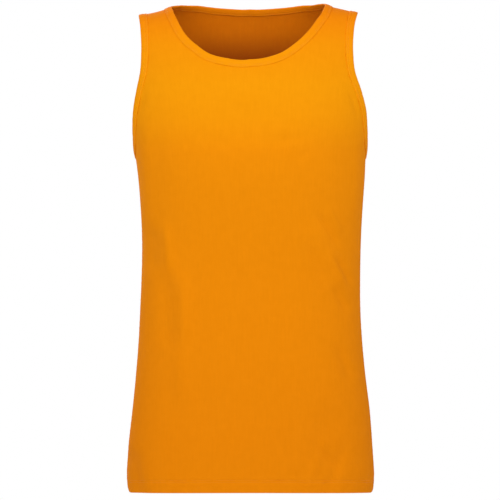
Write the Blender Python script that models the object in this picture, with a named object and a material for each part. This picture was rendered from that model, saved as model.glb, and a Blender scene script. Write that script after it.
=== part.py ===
"""A fitted tank top in cotton jersey, filled out as when worn, with one closed solid for each cut piece.

Metres, +Z up, +X to the viewer's right, and the front towards -Y. The origin lies midway between the two high
shoulder points, where the wearer's shoulders carry the garment. Left and right in a name are the wearer's.
"""

from collections import namedtuple

import bpy
import numpy as np
from mathutils import Vector
from mathutils.geometry import delaunay_2d_cdt

# Driving sizes
WALL = 0.0012  # one layer of jersey, at the least that a solid cloth wall takes
SEAM_GAP = 0.0003  # between two pieces that are sewn together
BINDING_WALL = 0.0011  # one leg of the folded binding
NECK_BAND = 0.0100  # depth of the folded neck binding
ARM_BAND = 0.0104  # depth of the folded armhole bindings
HEM_TURN = 0.0195  # height of the turned-up hem
HEM_WALL = 0.0026  # the hem's two layers, pressed together
RIDGE_RADIUS = 0.050  # roundness of the shoulders, from front to back
SQUARENESS = 2.3  # 2 is an ellipse, and more is squarer
SECTION_ASPECT = 1.45  # a section's usual width over its depth, for spacing the girth evenly
QUARTER_GIRTH = 0.230  # centre front to side seam at the chest, which scales the girth fraction to a length
UNDERARM = -0.2125  # height of the armholes' lowest points
HEM_FRONT = -0.6975  # the hem's height at centre front
HEM_SIDE = -0.7030  # the hem's height beside the side seams
HEM_BACK = -0.7060  # the hem's height at centre back
HEM_CORNER_RISE = 0.0080  # how far the side seams lift the hem's corners
HEM_CORNER = 0.17  # share of the girth over which they do
FOLD_SHOULDER = 0.92  # thickness left where the binding starts to round over, as a share of the whole
FOLD_CROWN = 1.3  # how far the binding's rounded fold stands out, in walls

FRONT, BACK = -1, 1

# Level sections: half widths to the viewer's left and right, and depths before and behind the shoulder line.
# Above the underarm the half widths are the section's own, and the armholes cut it off.
Section = namedtuple("Section", "height left right front back")
SECTIONS = (
    Section(0.030, 0.1960, 0.1960, 0.052, 0.058),
    Section(0.000, 0.1950, 0.1955, 0.062, 0.068),
    Section(-0.040, 0.1880, 0.1885, 0.076, 0.082),
    Section(-0.070, 0.1830, 0.1835, 0.086, 0.092),
    Section(-0.100, 0.1785, 0.1790, 0.096, 0.101),
    Section(-0.130, 0.1770, 0.1775, 0.106, 0.108),
    Section(-0.160, 0.1751, 0.1761, 0.114, 0.112),
    Section(-0.185, 0.1712, 0.1727, 0.119, 0.114),
    Section(-0.2125, 0.1652, 0.1672, 0.121, 0.114),
    Section(-0.250, 0.1598, 0.1648, 0.119, 0.111),
    Section(-0.290, 0.1563, 0.1620, 0.114, 0.106),
    Section(-0.340, 0.1547, 0.1594, 0.108, 0.099),
    Section(-0.385, 0.1550, 0.1584, 0.104, 0.095),
    Section(-0.430, 0.1568, 0.1584, 0.103, 0.096),
    Section(-0.480, 0.1592, 0.1608, 0.104, 0.102),
    Section(-0.530, 0.1630, 0.1654, 0.106, 0.109),
    Section(-0.590, 0.1690, 0.1726, 0.108, 0.115),
    Section(-0.640, 0.1745, 0.1762, 0.109, 0.117),
    Section(-0.680, 0.1764, 0.1783, 0.109, 0.116),
    Section(-0.720, 0.1728, 0.1747, 0.109, 0.115),
)

# The shoulder line that the cloth rolls over. Inside the neck hole it only shapes the cloth round the hole.
Shoulder = namedtuple("Shoulder", "across left right")
SHOULDER_LINE = (
    Shoulder(0.000, 0.0300, 0.0300),
    Shoulder(0.040, 0.0260, 0.0260),
    Shoulder(0.075, 0.0155, 0.0160),
    Shoulder(0.095, 0.0040, 0.0055),
    Shoulder(0.112, -0.0045, -0.0025),
    Shoulder(0.135, -0.0120, -0.0085),
    Shoulder(0.160, -0.0170, -0.0145),
    Shoulder(0.200, -0.0270, -0.0250),
)

# The neck hole's edge as heights at places across, in the order of its loop. It sits a little to one side.
NECK_LEFT, NECK_RIGHT = -0.1125, 0.1085
EdgePoint = namedtuple("EdgePoint", "across height")
FRONT_NECKLINE = (
    EdgePoint(-0.1105, -0.0140),
    EdgePoint(-0.1063, -0.0235),
    EdgePoint(-0.0948, -0.0450),
    EdgePoint(-0.0780, -0.0622),
    EdgePoint(-0.0550, -0.0777),
    EdgePoint(-0.0150, -0.0858),
    EdgePoint(0.0200, -0.0830),
    EdgePoint(0.0450, -0.0750),
    EdgePoint(0.0680, -0.0590),
    EdgePoint(0.0840, -0.0432),
    EdgePoint(0.0970, -0.0258),
    EdgePoint(0.1050, -0.0140),
)
BACK_NECKLINE = (
    EdgePoint(0.0930, -0.0010),
    EdgePoint(0.0800, -0.0012),
    EdgePoint(0.0580, -0.0032),
    EdgePoint(0.0300, -0.0053),
    EdgePoint(0.0000, -0.0058),
    EdgePoint(-0.0300, -0.0053),
    EdgePoint(-0.0580, -0.0032),
    EdgePoint(-0.0820, -0.0015),
    EdgePoint(-0.0960, -0.0018),
)

# The armholes' edges from the shoulder tip down. They end at the underarm, on the side seam.
SHOULDER_TIP_LEFT, SHOULDER_TIP_RIGHT = -0.1585, 0.1540
ArmholeRow = namedtuple("ArmholeRow", "height left right")
ARMHOLE = (
    ArmholeRow(-0.0350, -0.1553, 0.1480),
    ArmholeRow(-0.0700, -0.1535, 0.1460),
    ArmholeRow(-0.1000, -0.1551, 0.1488),
    ArmholeRow(-0.1300, -0.1612, 0.1588),
    ArmholeRow(-0.1550, -0.1652, 0.1648),
    ArmholeRow(-0.1800, -0.1663, 0.1667),
    ArmholeRow(-0.1990, -0.1660, 0.1674),
)

# The largest soft folds, each a rounded ridge (or a trough, where its rise is negative) between two ends.
Fold = namedtuple("Fold", "side x0 z0 x1 z1 half_width rise")
FOLDS = (
    Fold(FRONT, -0.106, -0.335, -0.098, -0.590, 0.020, 0.0035),
    Fold(FRONT, 0.075, -0.300, 0.148, -0.430, 0.018, 0.0025),
    Fold(FRONT, 0.118, -0.560, 0.100, -0.690, 0.020, -0.0025),
    Fold(FRONT, 0.000, -0.140, 0.000, -0.215, 0.035, -0.0020),
    Fold(FRONT, -0.144, -0.312, -0.138, -0.392, 0.012, -0.0032),
    Fold(FRONT, -0.117, -0.378, -0.113, -0.506, 0.013, -0.0034),
    Fold(FRONT, -0.172, -0.632, -0.158, -0.712, 0.011, -0.0042),
    Fold(BACK, -0.110, -0.330, -0.030, -0.420, 0.022, 0.0035),
    Fold(BACK, 0.120, -0.320, 0.040, -0.400, 0.020, 0.0030),
    Fold(BACK, 0.000, -0.100, 0.000, -0.330, 0.040, -0.0030),
)
FOLD_END = 0.3  # share of a fold's length over which it fades at each end
SEAM_FADE = 0.016  # how near to a side seam the folds fade, so that front and back meet

# Mesh spacing
NECK_STATIONS = {FRONT: 34, BACK: 22}
ARM_STATIONS = 21
GIRTH_COLUMNS = (0.0, 0.10, 0.20, 0.30, 0.40, 0.48, 0.545, 0.605, 0.665, 0.725, 0.785, 0.84, 0.89, 0.94)
ROW_SPACING_TOP = 0.014
ROW_SPACING_BODY = 0.023
ROW_FIRST = 0.010
ROW_EVEN_FROM = 0.25  # way down from which the rows have the body's spacing
STRAP_COLUMNS = 3
HEM_END_COLUMN = 0.975  # one more column beside each side seam
KEEP_CLEAR = 0.0065  # how near to a panel's marked lines an inner mesh point may lie
MERGE_DISTANCE = 1e-7
SHARP_ANGLE = 0.8  # radians between faces that keep a hard edge

# Accuracy of the curves
ARC_SAMPLES = 4001
LINE_SAMPLES = 24
START_WIDTH = 0.17  # first guess of a half width
WIDTH_ROUNDS = 12
PLACE_ROUNDS = 6
PROBE = 0.0005  # step for measuring slopes on the cloth

# Points that lie on the cloth's side of the armholes and of the neck hole, with the depth of the front or back
ARM_TARGET = (0.0, 0.1, -0.3)
NECK_TARGET = (0.0, 0.1, -0.8)

ORANGE = (242, 142, 5)
BINDING_ORANGE = (246, 148, 12)
COTTON_ROUGHNESS = 0.85


def srgb_to_linear(colour):
    """The linear colour, with alpha, of three sRGB values from 0 to 255."""
    parts = [value / 255 for value in colour]
    linear = [part / 12.92 if part <= 0.04045 else ((part + 0.055) / 1.055) ** 2.4 for part in parts]
    return (*linear, 1.0)


def clear_scene():
    for found in list(bpy.data.objects):
        bpy.data.objects.remove(found, do_unlink=True)


def smooth_at(wanted, knots, values):
    """A smooth curve through the knots' values, read at the wanted places."""
    order = np.argsort(knots)
    knots = np.asarray(knots, float)[order]
    values = np.asarray(values, float)[order]
    slopes = np.gradient(values, knots)
    wanted = np.clip(wanted, knots[0], knots[-1])
    index = np.clip(np.searchsorted(knots, wanted) - 1, 0, len(knots) - 2)
    span = knots[index + 1] - knots[index]
    share = (wanted - knots[index]) / span
    rest = 1 - share
    start = values[index] * (1 + 2 * share) * rest**2 + slopes[index] * span * share * rest**2
    end = values[index + 1] * (3 - 2 * share) * share**2 - slopes[index + 1] * span * rest * share**2
    return start + end


def column(table, name):
    return np.array([getattr(row, name) for row in table])


def unit_quarter():
    """A quarter of the rounded section, as girth share, width share and depth share, evenly along its arc."""
    angle = np.linspace(0, np.pi / 2, ARC_SAMPLES)
    width = np.sin(angle) ** (2 / SQUARENESS)
    depth = np.cos(angle) ** (2 / SQUARENESS)
    steps = np.hypot(np.diff(width) * SECTION_ASPECT, np.diff(depth))
    girth = np.concatenate([[0], np.cumsum(steps)])
    return girth / girth[-1], width, depth


GIRTH_SHARE, WIDTH_SHARE, DEPTH_SHARE = unit_quarter()


def half_width(across, height):
    """The section's half width on the side where across lies."""
    heights = column(SECTIONS, "height")
    left = smooth_at(height, heights, column(SECTIONS, "left"))
    right = smooth_at(height, heights, column(SECTIONS, "right"))
    return np.where(across < 0, left, right)


def shoulder_height(across):
    """Height of the line that the cloth rolls over."""
    places = column(SHOULDER_LINE, "across")
    left = smooth_at(np.abs(across), places, column(SHOULDER_LINE, "left"))
    right = smooth_at(np.abs(across), places, column(SHOULDER_LINE, "right"))
    return np.where(across < 0, left, right)


def drop_of(down):
    """Height lost after going this far down over the shoulder."""
    return np.sqrt(down**2 + RIDGE_RADIUS**2) - RIDGE_RADIUS


def down_of(drop):
    """The way down over the shoulder that loses this height."""
    return np.sqrt((np.maximum(drop, 0) + RIDGE_RADIUS) ** 2 - RIDGE_RADIUS**2)


def smooth_step(value):
    value = np.clip(value, 0, 1)
    return value * value * (3 - 2 * value)


def fold_rise(side, points):
    """How far the folds push the cloth out at each point."""
    rise = np.zeros(len(points))
    for fold in FOLDS:
        if fold.side != side:
            continue
        start = np.array([fold.x0, fold.z0])
        along = np.array([fold.x1, fold.z1]) - start
        length = np.linalg.norm(along)
        along = along / length
        offset = points[:, [0, 2]] - start
        run = offset @ along / length
        away = np.abs(offset @ np.array([-along[1], along[0]]))
        ends = smooth_step(run / FOLD_END) * smooth_step((1 - run) / FOLD_END)
        rise += fold.rise * ends * np.exp(-((away / fold.half_width) ** 2))
    return rise


def plain_cloth(side, girth, down):
    """Points on the cloth without its folds.

    Girth runs from -1 to 1 between the side seams, and down is measured from the shoulder line.
    """
    share = np.abs(girth)
    sign = np.where(girth < 0, -1.0, 1.0)
    width = np.interp(share, GIRTH_SHARE, WIDTH_SHARE)
    depth = np.interp(share, GIRTH_SHARE, DEPTH_SHARE)
    across = sign * width * START_WIDTH
    for _ in range(WIDTH_ROUNDS):
        height = shoulder_height(across) - drop_of(down)
        across = sign * width * half_width(sign, height)
    heights = column(SECTIONS, "height")
    name = "front" if side == FRONT else "back"
    reach = smooth_at(height, heights, column(SECTIONS, name))
    roll = down / np.sqrt(down**2 + RIDGE_RADIUS**2)
    return np.stack([across, side * reach * depth * roll, height], axis=1)


def normals_of(side, girth, down):
    """The way out of the cloth at each point."""
    girth_probe = PROBE / QUARTER_GIRTH
    by_girth = plain_cloth(side, girth + girth_probe, down) - plain_cloth(side, girth - girth_probe, down)
    by_down = plain_cloth(side, girth, down + PROBE) - plain_cloth(side, girth, np.maximum(down - PROBE, 0))
    normal = np.cross(by_girth, by_down) * side
    return normal / np.linalg.norm(normal, axis=1)[:, None]


def cloth(side, girth, down, lift=0.0):
    """Points on the folded cloth's middle, moved out by lift, with the normals there."""
    girth = np.asarray(girth, float)
    down = np.asarray(down, float)
    points = plain_cloth(side, girth, down)
    normal = normals_of(side, girth, down)
    clear_of_seams = smooth_step((1 - np.abs(girth)) * QUARTER_GIRTH / SEAM_FADE)
    rise = fold_rise(side, points) * clear_of_seams + lift
    return points + normal * rise[:, None], normal


def place_on_cloth(across, height):
    """Girth and way down of a point that is known by its place in the front view."""
    share = np.clip(np.abs(across) / half_width(across, height), 0, 1)
    girth = np.sign(across) * np.interp(share, WIDTH_SHARE, GIRTH_SHARE)
    return girth, down_of(shoulder_height(across) - height)


def spline(points, closed):
    """A smooth line through the points, in the plane of girth and way down."""
    points = np.asarray(points, float)
    if closed:
        padded = np.vstack([points[-1], points, points[0], points[1]])
    else:
        padded = np.vstack([2 * points[0] - points[1], points, 2 * points[-1] - points[-2]])
    line = []
    for before, start, end, after in zip(padded, padded[1:], padded[2:], padded[3:]):
        first = np.linalg.norm(start - before) ** 0.5
        span = np.linalg.norm(end - start) ** 0.5
        last = np.linalg.norm(after - end) ** 0.5
        slope_in = ((start - before) / first - (end - before) / (first + span) + (end - start) / span) * span
        slope_out = ((end - start) / span - (after - start) / (span + last) + (after - end) / last) * span
        for share in np.arange(LINE_SAMPLES) / LINE_SAMPLES:
            rest = 1 - share
            line.append(
                start * (1 + 2 * share) * rest**2
                + slope_in * share * rest**2
                + end * (3 - 2 * share) * share**2
                - slope_out * rest * share**2
            )
    if not closed:
        line.append(points[-1])
    return np.array(line)


def even_stations(side, line, count):
    """The line resampled to a count of equal steps, measured along the cloth."""
    points, _ = cloth(side, line[:, 0], line[:, 1])
    steps = np.linalg.norm(np.diff(points, axis=0), axis=1)
    length = np.concatenate([[0], np.cumsum(steps)])
    wanted = np.linspace(0, length[-1], count + 1)
    return np.stack([np.interp(wanted, length, line[:, 0]), np.interp(wanted, length, line[:, 1])], axis=1)


def neck_lines():
    """The neck hole's edge on the front and on the back, each in the order of its loop, as seen from above."""
    knots = []
    for table, turn, seam in ((FRONT_NECKLINE, FRONT, NECK_RIGHT), (BACK_NECKLINE, BACK, NECK_LEFT)):
        girth, down = place_on_cloth(column(table, "across"), column(table, "height"))
        knots += [(g * QUARTER_GIRTH, turn * d) for g, d in zip(girth, down)]
        knots.append((ridge_girth(seam) * QUARTER_GIRTH, 0.0))
    # The loop's line starts at its last knot, which lies on the shoulder seam.
    line = np.roll(spline(knots, True), LINE_SAMPLES, axis=0)
    seam_at = (len(FRONT_NECKLINE) + 1) * LINE_SAMPLES
    front = line[: seam_at + 1]
    back = np.vstack([line[seam_at:], line[:1]])
    scale = np.array([1 / QUARTER_GIRTH, 1.0])
    return {FRONT: np.abs(front) * scale * facing(front), BACK: np.abs(back) * scale * facing(back)}


def facing(line):
    """The sign that the girth keeps, beside a way down that is never negative."""
    return np.stack([np.sign(line[:, 0]), np.ones(len(line))], axis=1)


def ridge_girth(across):
    """Girth share of a point on the shoulder line."""
    place = np.array([across])
    girth, _ = place_on_cloth(place, shoulder_height(place))
    return girth[0]


def armhole_line(hand):
    """An armhole's edge from shoulder tip to underarm. Hand is -1 at the viewer's left and 1 at the right."""
    name = "left" if hand < 0 else "right"
    tip = SHOULDER_TIP_LEFT if hand < 0 else SHOULDER_TIP_RIGHT
    across = column(ARMHOLE, name)
    girth, down = place_on_cloth(across, column(ARMHOLE, "height"))
    side_width = half_width(np.array([float(hand)]), np.array([UNDERARM]))
    underarm_down = down_of(shoulder_height(hand * side_width) - UNDERARM)[0]
    knots = [(ridge_girth(tip) * QUARTER_GIRTH, 0.0)]
    knots += [(g * QUARTER_GIRTH, d) for g, d in zip(girth, down)]
    knots.append((hand * QUARTER_GIRTH, underarm_down))
    # A mirrored knot at each end turns the line square to the shoulder seam and to the side seam.
    before = (knots[1][0], -knots[1][1])
    after = (2 * hand * QUARTER_GIRTH - knots[-2][0], knots[-2][1])
    line = spline([before, *knots, after], False)[LINE_SAMPLES:-LINE_SAMPLES]
    line[0, 1] = 0.0
    return line * np.array([1 / QUARTER_GIRTH, 1.0])


def towards(side, line, target, distance):
    """The points at this distance from the line, square to it along the cloth, on the target's side."""
    points, normal = cloth(side, line[:, 0], line[:, 1])
    along = np.gradient(points, axis=0)
    along /= np.linalg.norm(along, axis=1)[:, None]
    inward = np.cross(normal, along)
    if (inward * (np.array(target) * (1, side, 1) - points)).sum() < 0:
        inward = -inward
    wanted = points + inward * distance
    girth = line[:, 0].copy()
    down = line[:, 1].copy()
    for _ in range(PLACE_ROUNDS):
        here, _ = cloth(side, girth, down)
        by_girth = (cloth(side, girth + PROBE, down)[0] - here) / PROBE
        by_down = (cloth(side, girth, down + PROBE)[0] - here) / PROBE
        for index in range(len(girth)):
            slopes = np.stack([by_girth[index], by_down[index]], axis=1)
            change = np.linalg.lstsq(slopes, wanted[index] - here[index], rcond=None)[0]
            girth[index] += change[0]
            down[index] = max(down[index] + change[1], 0)
    return np.stack([girth, down], axis=1)


def hem_height(side, girth):
    """Height of the garment's lower edge."""
    middle = HEM_FRONT if side == FRONT else HEM_BACK
    level = middle + (HEM_SIDE - middle) * np.abs(girth) ** 2
    corner = smooth_step((np.abs(girth) - (1 - HEM_CORNER)) / HEM_CORNER)
    return level + HEM_CORNER_RISE * corner**2


def hem_lines(side, columns):
    """The hem's folded edge and the line where its turned-up layer ends, at each girth column."""
    width = np.interp(np.abs(columns), GIRTH_SHARE, WIDTH_SHARE)
    height = hem_height(side, columns)
    across = np.sign(columns) * width * half_width(columns, height)
    edge = down_of(shoulder_height(across) - height)
    return np.stack([columns, edge], axis=1), np.stack([columns, edge - HEM_TURN], axis=1)


def inside(point, polygon):
    """Whether a point lies in the polygon and clear of its sides."""
    ends = np.roll(polygon, -1, axis=0)
    crosses = (polygon[:, 1] > point[1]) != (ends[:, 1] > point[1])
    rise = np.where(crosses, ends[:, 1] - polygon[:, 1], 1)
    at = polygon[:, 0] + (point[1] - polygon[:, 1]) * (ends[:, 0] - polygon[:, 0]) / rise
    if not (crosses & (at > point[0])).sum() % 2:
        return False
    along = ends - polygon
    share = ((point - polygon) * along).sum(axis=1) / (along**2).sum(axis=1)
    nearest = polygon + along * np.clip(share, 0, 1)[:, None]
    return np.linalg.norm(nearest - point, axis=1).min() > KEEP_CLEAR


def row_levels(lowest):
    """Ways down of the mesh rows, close over the shoulders and wider on the body."""
    rows = [ROW_FIRST]
    while rows[-1] < lowest:
        share = min(rows[-1] / ROW_EVEN_FROM, 1)
        rows.append(rows[-1] + ROW_SPACING_TOP + (ROW_SPACING_BODY - ROW_SPACING_TOP) * share)
    return rows[:-1]


class Panel:
    """A cut panel as points in the plane of girth and way down, with its triangles and its marked lines."""

    def __init__(self, side):
        self.side = side
        self.points = []
        self.triangles = []
        self.hem_triangles = []

    def add(self, line):
        first = len(self.points)
        self.points += [tuple(point) for point in line]
        return list(range(first, len(self.points)))

    def strip(self, edge, inner):
        """The triangles between an edge and the line that runs beside it."""
        found = []
        for i in range(len(edge) - 1):
            found.append((edge[i], edge[i + 1], inner[i + 1]))
            found.append((edge[i], inner[i + 1], inner[i]))
        return found

    def fill(self, loop):
        """Fills the loop with triangles over a grid of columns and rows."""
        scale = np.array([QUARTER_GIRTH, 1.0])
        polygon = np.array([self.points[i] for i in loop]) * scale
        columns = sorted({sign * share for share in GIRTH_COLUMNS for sign in (-1, 1)})
        grid = []
        for down in row_levels(polygon[:, 1].max()):
            for girth in columns:
                if inside(np.array([girth, down]) * scale, polygon):
                    grid.append((girth, down))
        ids = loop + self.add(grid)
        flat = [Vector((self.points[i][0] * scale[0], self.points[i][1])) for i in ids]
        face = list(range(len(loop)))
        _, _, faces, sources, _, _ = delaunay_2d_cdt(flat, [], [face], 1, MERGE_DISTANCE)
        self.triangles += [tuple(ids[sources[corner][0]] for corner in found) for found in faces]


def seam_rows(start, end):
    """Ways down along a side seam, between the armhole's band and the hem."""
    rows = [down for down in row_levels(end) if start + KEEP_CLEAR < down < end - KEEP_CLEAR]
    return np.array(rows)


def cut_panel(side):
    """The front or the back, flat in its plane of girth and way down."""
    panel = Panel(side)
    seam_down = SEAM_GAP / 2
    seam_girth = 1 - SEAM_GAP / 2 / QUARTER_GIRTH

    neck = even_stations(side, neck_lines()[side], NECK_STATIONS[side])
    neck[[0, -1], 1] = seam_down
    neck_inner = towards(side, neck, NECK_TARGET, NECK_BAND)
    neck_inner[[0, -1], 1] = seam_down
    panel.neck_edge = panel.add(neck)
    panel.neck_inner = panel.add(neck_inner)
    panel.triangles += panel.strip(panel.neck_edge, panel.neck_inner)

    panel.arm_edge, panel.arm_inner = {}, {}
    for hand in (-1, 1):
        edge = even_stations(side, armhole_line(hand), ARM_STATIONS)
        edge[0, 1] = seam_down
        edge[-1, 0] = hand * seam_girth
        inner = towards(side, edge, ARM_TARGET, ARM_BAND)
        inner[0, 1] = seam_down
        inner[-1, 0] = hand * seam_girth
        panel.arm_edge[hand] = panel.add(edge)
        panel.arm_inner[hand] = panel.add(inner)
        # The strip's triangles run the way that the armhole's loop does, which is up on the back.
        order = 1 if side == FRONT else -1
        panel.triangles += panel.strip(panel.arm_edge[hand][::order], panel.arm_inner[hand][::order])

    shares = sorted({sign * share for share in GIRTH_COLUMNS for sign in (-1, 1)})
    columns = np.array([-seam_girth, -HEM_END_COLUMN, *shares, HEM_END_COLUMN, seam_girth])
    hem_edge, hem_inner = hem_lines(side, columns)
    panel.hem_edge = panel.add(hem_edge)
    panel.hem_inner = panel.add(hem_inner)
    panel.hem_triangles = panel.strip(panel.hem_edge, panel.hem_inner)

    # The loop goes over the left strap, round the neck, over the right strap, down one side and up the other.
    neck_ids = panel.neck_inner if side == FRONT else panel.neck_inner[::-1]
    loop = []
    for hand, neck_end in ((-1, neck_ids[0]), (1, neck_ids[-1])):
        outer = panel.points[panel.arm_inner[hand][0]][0]
        inner = panel.points[neck_end][0]
        shares = np.linspace(outer, inner, STRAP_COLUMNS + 1)[1:-1]
        strap = panel.add([(share, seam_down) for share in shares])
        if hand < 0:
            loop += [panel.arm_inner[-1][0], *strap, *neck_ids]
        else:
            loop += [*strap[::-1], *panel.arm_inner[1]]
    seams = {}
    for hand, hem_end in ((-1, panel.hem_inner[0]), (1, panel.hem_inner[-1])):
        top = panel.points[panel.arm_inner[hand][-1]][1]
        rows = seam_rows(top, panel.points[hem_end][1])
        seams[hand] = panel.add([(hand * seam_girth, down) for down in rows])
    loop += [*seams[1], *panel.hem_inner[::-1], *seams[-1][::-1], *panel.arm_inner[-1][:0:-1]]
    panel.fill(loop)
    return panel


def boundary(triangles):
    """The edges that only one triangle has."""
    seen = {}
    for a, b, c in triangles:
        for start, end in ((a, b), (b, c), (c, a)):
            key = (min(start, end), max(start, end))
            seen.setdefault(key, []).append((start, end))
    return [found[0] for found in seen.values() if len(found) == 1]


def facing_out(panel, triangles):
    """The triangles with their corners in the order that faces them out."""
    flat = np.array(panel.points)
    turned = []
    for a, b, c in triangles:
        first = flat[b] - flat[a]
        second = flat[c] - flat[a]
        turn = first[0] * second[1] - first[1] * second[0]
        turned.append((a, b, c) if turn * panel.side > 0 else (a, c, b))
    return turned


def solid_panel(panel):
    """The panel as a closed wall, with its hem turned up on the inside."""
    flat = np.array(panel.points)
    outer, _ = cloth(panel.side, flat[:, 0], flat[:, 1], WALL / 2)
    inner, _ = cloth(panel.side, flat[:, 0], flat[:, 1], -WALL / 2)
    hem_ids = panel.hem_edge + panel.hem_inner
    deep, _ = cloth(panel.side, flat[hem_ids, 0], flat[hem_ids, 1], WALL / 2 - HEM_WALL)
    count = len(flat)
    deep_of = {point: 2 * count + i for i, point in enumerate(hem_ids)}
    body = facing_out(panel, panel.triangles)
    hem = facing_out(panel, panel.hem_triangles)
    faces = [*body, *hem]
    faces += [(c + count, b + count, a + count) for a, b, c in body]
    faces += [(deep_of[c], deep_of[b], deep_of[a]) for a, b, c in hem]
    hem_tops = set(panel.hem_inner)
    in_hem = set(hem_ids)
    for start, end in boundary(body + hem):
        if start in in_hem and end in in_hem:
            wall = [end, start, deep_of[start], deep_of[end]]
            # At a side seam the wall also meets the end of the hem's step.
            if start in hem_tops and end not in hem_tops:
                wall.insert(2, start + count)
            if end in hem_tops and start not in hem_tops:
                wall.append(end + count)
            faces.append(tuple(wall))
        else:
            faces.append((end, start, start + count, end + count))
    for start, end in boundary(body):
        if start in hem_tops and end in hem_tops:
            faces.append((start + count, end + count, deep_of[end], deep_of[start]))
    return np.vstack([outer, inner, deep]), faces


def ring_section(edge, edge_normal, inner, inner_normal):
    """Corners of the folded binding at one station: the slot that holds the panel's edge, then the outside."""
    beyond = edge - inner
    beyond = beyond / np.linalg.norm(beyond)
    slot = WALL / 2 + SEAM_GAP
    skin = slot + BINDING_WALL
    return [
        inner + inner_normal * slot,
        edge + edge_normal * slot + beyond * SEAM_GAP,
        edge - edge_normal * slot + beyond * SEAM_GAP,
        inner - inner_normal * slot,
        inner - inner_normal * skin,
        edge - edge_normal * skin * FOLD_SHOULDER + beyond * SEAM_GAP,
        edge + beyond * (SEAM_GAP + BINDING_WALL * FOLD_CROWN),
        edge + edge_normal * skin * FOLD_SHOULDER + beyond * SEAM_GAP,
        inner + inner_normal * skin,
    ]


def solid_ring(stations):
    """A closed ring of the binding's section, over stations that each give edge, inner line and normals."""
    sections = [ring_section(*station) for station in stations]
    size = len(sections[0])
    points = np.array([corner for section in sections for corner in section])
    towards_edge = {0, 4, 5}
    faces = []
    for i in range(len(sections)):
        here = i * size
        there = (i + 1) % len(sections) * size
        for k in range(size):
            after = (k + 1) % size
            if k in towards_edge:
                faces.append((here + k, there + k, here + after))
                faces.append((there + k, there + after, here + after))
            else:
                faces.append((here + k, there + k, there + after))
                faces.append((here + k, there + after, here + after))
    corners = points[np.array(faces)]
    volume = (np.cross(corners[:, 0], corners[:, 1]) * corners[:, 2]).sum() / 6
    if volume < 0:
        faces = [face[::-1] for face in faces]
    return points, faces


def stations_on(panel, edge_ids, inner_ids):
    flat = np.array(panel.points)
    edge, edge_normal = cloth(panel.side, flat[edge_ids, 0], flat[edge_ids, 1])
    inner, inner_normal = cloth(panel.side, flat[inner_ids, 0], flat[inner_ids, 1])
    return list(zip(edge, edge_normal, inner, inner_normal))


def midway(first, second):
    """The station between two that face each other over a seam."""
    station = [(a + b) / 2 for a, b in zip(first, second)]
    for index in (1, 3):
        station[index] = station[index] / np.linalg.norm(station[index])
    return tuple(station)


def joined_loop(first, second):
    """Two runs of stations as one loop, with one station on each seam that they meet at."""
    return [midway(second[-1], first[0]), *first[1:-1], midway(first[-1], second[0]), *second[1:-1]]


def make_piece(name, points, faces, colour):
    """An object in the scene with its own cloth material."""
    mesh = bpy.data.meshes.new(name)
    mesh.from_pydata([tuple(point) for point in points], [], faces)
    mesh.validate()
    mesh.shade_smooth()
    mesh.set_sharp_from_angle(angle=SHARP_ANGLE)
    material = bpy.data.materials.new(f"{name}_jersey")
    material.use_nodes = True
    shader = material.node_tree.nodes["Principled BSDF"]
    shader.inputs["Base Color"].default_value = srgb_to_linear(colour)
    shader.inputs["Roughness"].default_value = COTTON_ROUGHNESS
    shader.inputs["Metallic"].default_value = 0.0
    mesh.materials.append(material)
    piece = bpy.data.objects.new(name, mesh)
    bpy.context.scene.collection.objects.link(piece)
    return piece


def build_tank_top():
    clear_scene()
    front = cut_panel(FRONT)
    back = cut_panel(BACK)
    make_piece("front_panel", *solid_panel(front), ORANGE)
    make_piece("back_panel", *solid_panel(back), ORANGE)

    over_front = stations_on(front, front.neck_edge, front.neck_inner)
    over_back = stations_on(back, back.neck_edge, back.neck_inner)
    make_piece("neck_binding", *solid_ring(joined_loop(over_front, over_back)), BINDING_ORANGE)
    for hand, name in ((1, "armhole_binding_left"), (-1, "armhole_binding_right")):
        down_front = stations_on(front, front.arm_edge[hand], front.arm_inner[hand])
        up_back = stations_on(back, back.arm_edge[hand], back.arm_inner[hand])[::-1]
        make_piece(name, *solid_ring(joined_loop(down_front, up_back)), BINDING_ORANGE)


build_tank_top()
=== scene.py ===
# %% [markdown]
# A fitted tank top in orange cotton jersey, filled out as when worn, with no wearer in it.
# A maker cuts five pieces for it: a front, a back, and three strips that bind the neck and the armholes.
# The two large pieces are one layer of knit, closed at the shoulders and sides and turned up at the hem.
# The order here is the maker's: the room first, then the form, the cloth, the bindings and the thread.

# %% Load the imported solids
from collections import namedtuple

import bmesh
import bpy
import numpy as np
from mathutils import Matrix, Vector
from mathutils.geometry import delaunay_2d_cdt


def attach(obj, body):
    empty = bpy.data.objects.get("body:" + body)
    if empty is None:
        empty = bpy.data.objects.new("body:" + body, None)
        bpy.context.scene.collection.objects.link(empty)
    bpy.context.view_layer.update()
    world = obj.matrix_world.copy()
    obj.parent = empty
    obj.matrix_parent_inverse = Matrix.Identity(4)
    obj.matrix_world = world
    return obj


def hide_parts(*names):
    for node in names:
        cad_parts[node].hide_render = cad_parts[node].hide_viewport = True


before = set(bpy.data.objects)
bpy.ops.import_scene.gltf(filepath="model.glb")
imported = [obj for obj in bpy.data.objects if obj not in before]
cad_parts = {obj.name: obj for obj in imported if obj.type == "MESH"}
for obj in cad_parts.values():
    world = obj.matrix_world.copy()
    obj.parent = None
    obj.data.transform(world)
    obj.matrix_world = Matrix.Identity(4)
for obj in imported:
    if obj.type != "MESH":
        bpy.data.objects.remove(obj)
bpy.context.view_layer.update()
print("solids:", sorted(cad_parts))

# %% [markdown]
# The picture is a studio shot on pure white, taken level with the middle of the garment from far away.
# A long lens at 6 m gives the same flat view, and 500 pixels then span 0.72 m at the garment.
# The light is broad and soft. Part of it comes from all round, and most of the rest from two large lamps,
# high in front to both sides, which make the upper chest brightest. Two small lamps beside the chest lift
# its sides, and one behind shows the back as well.

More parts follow.
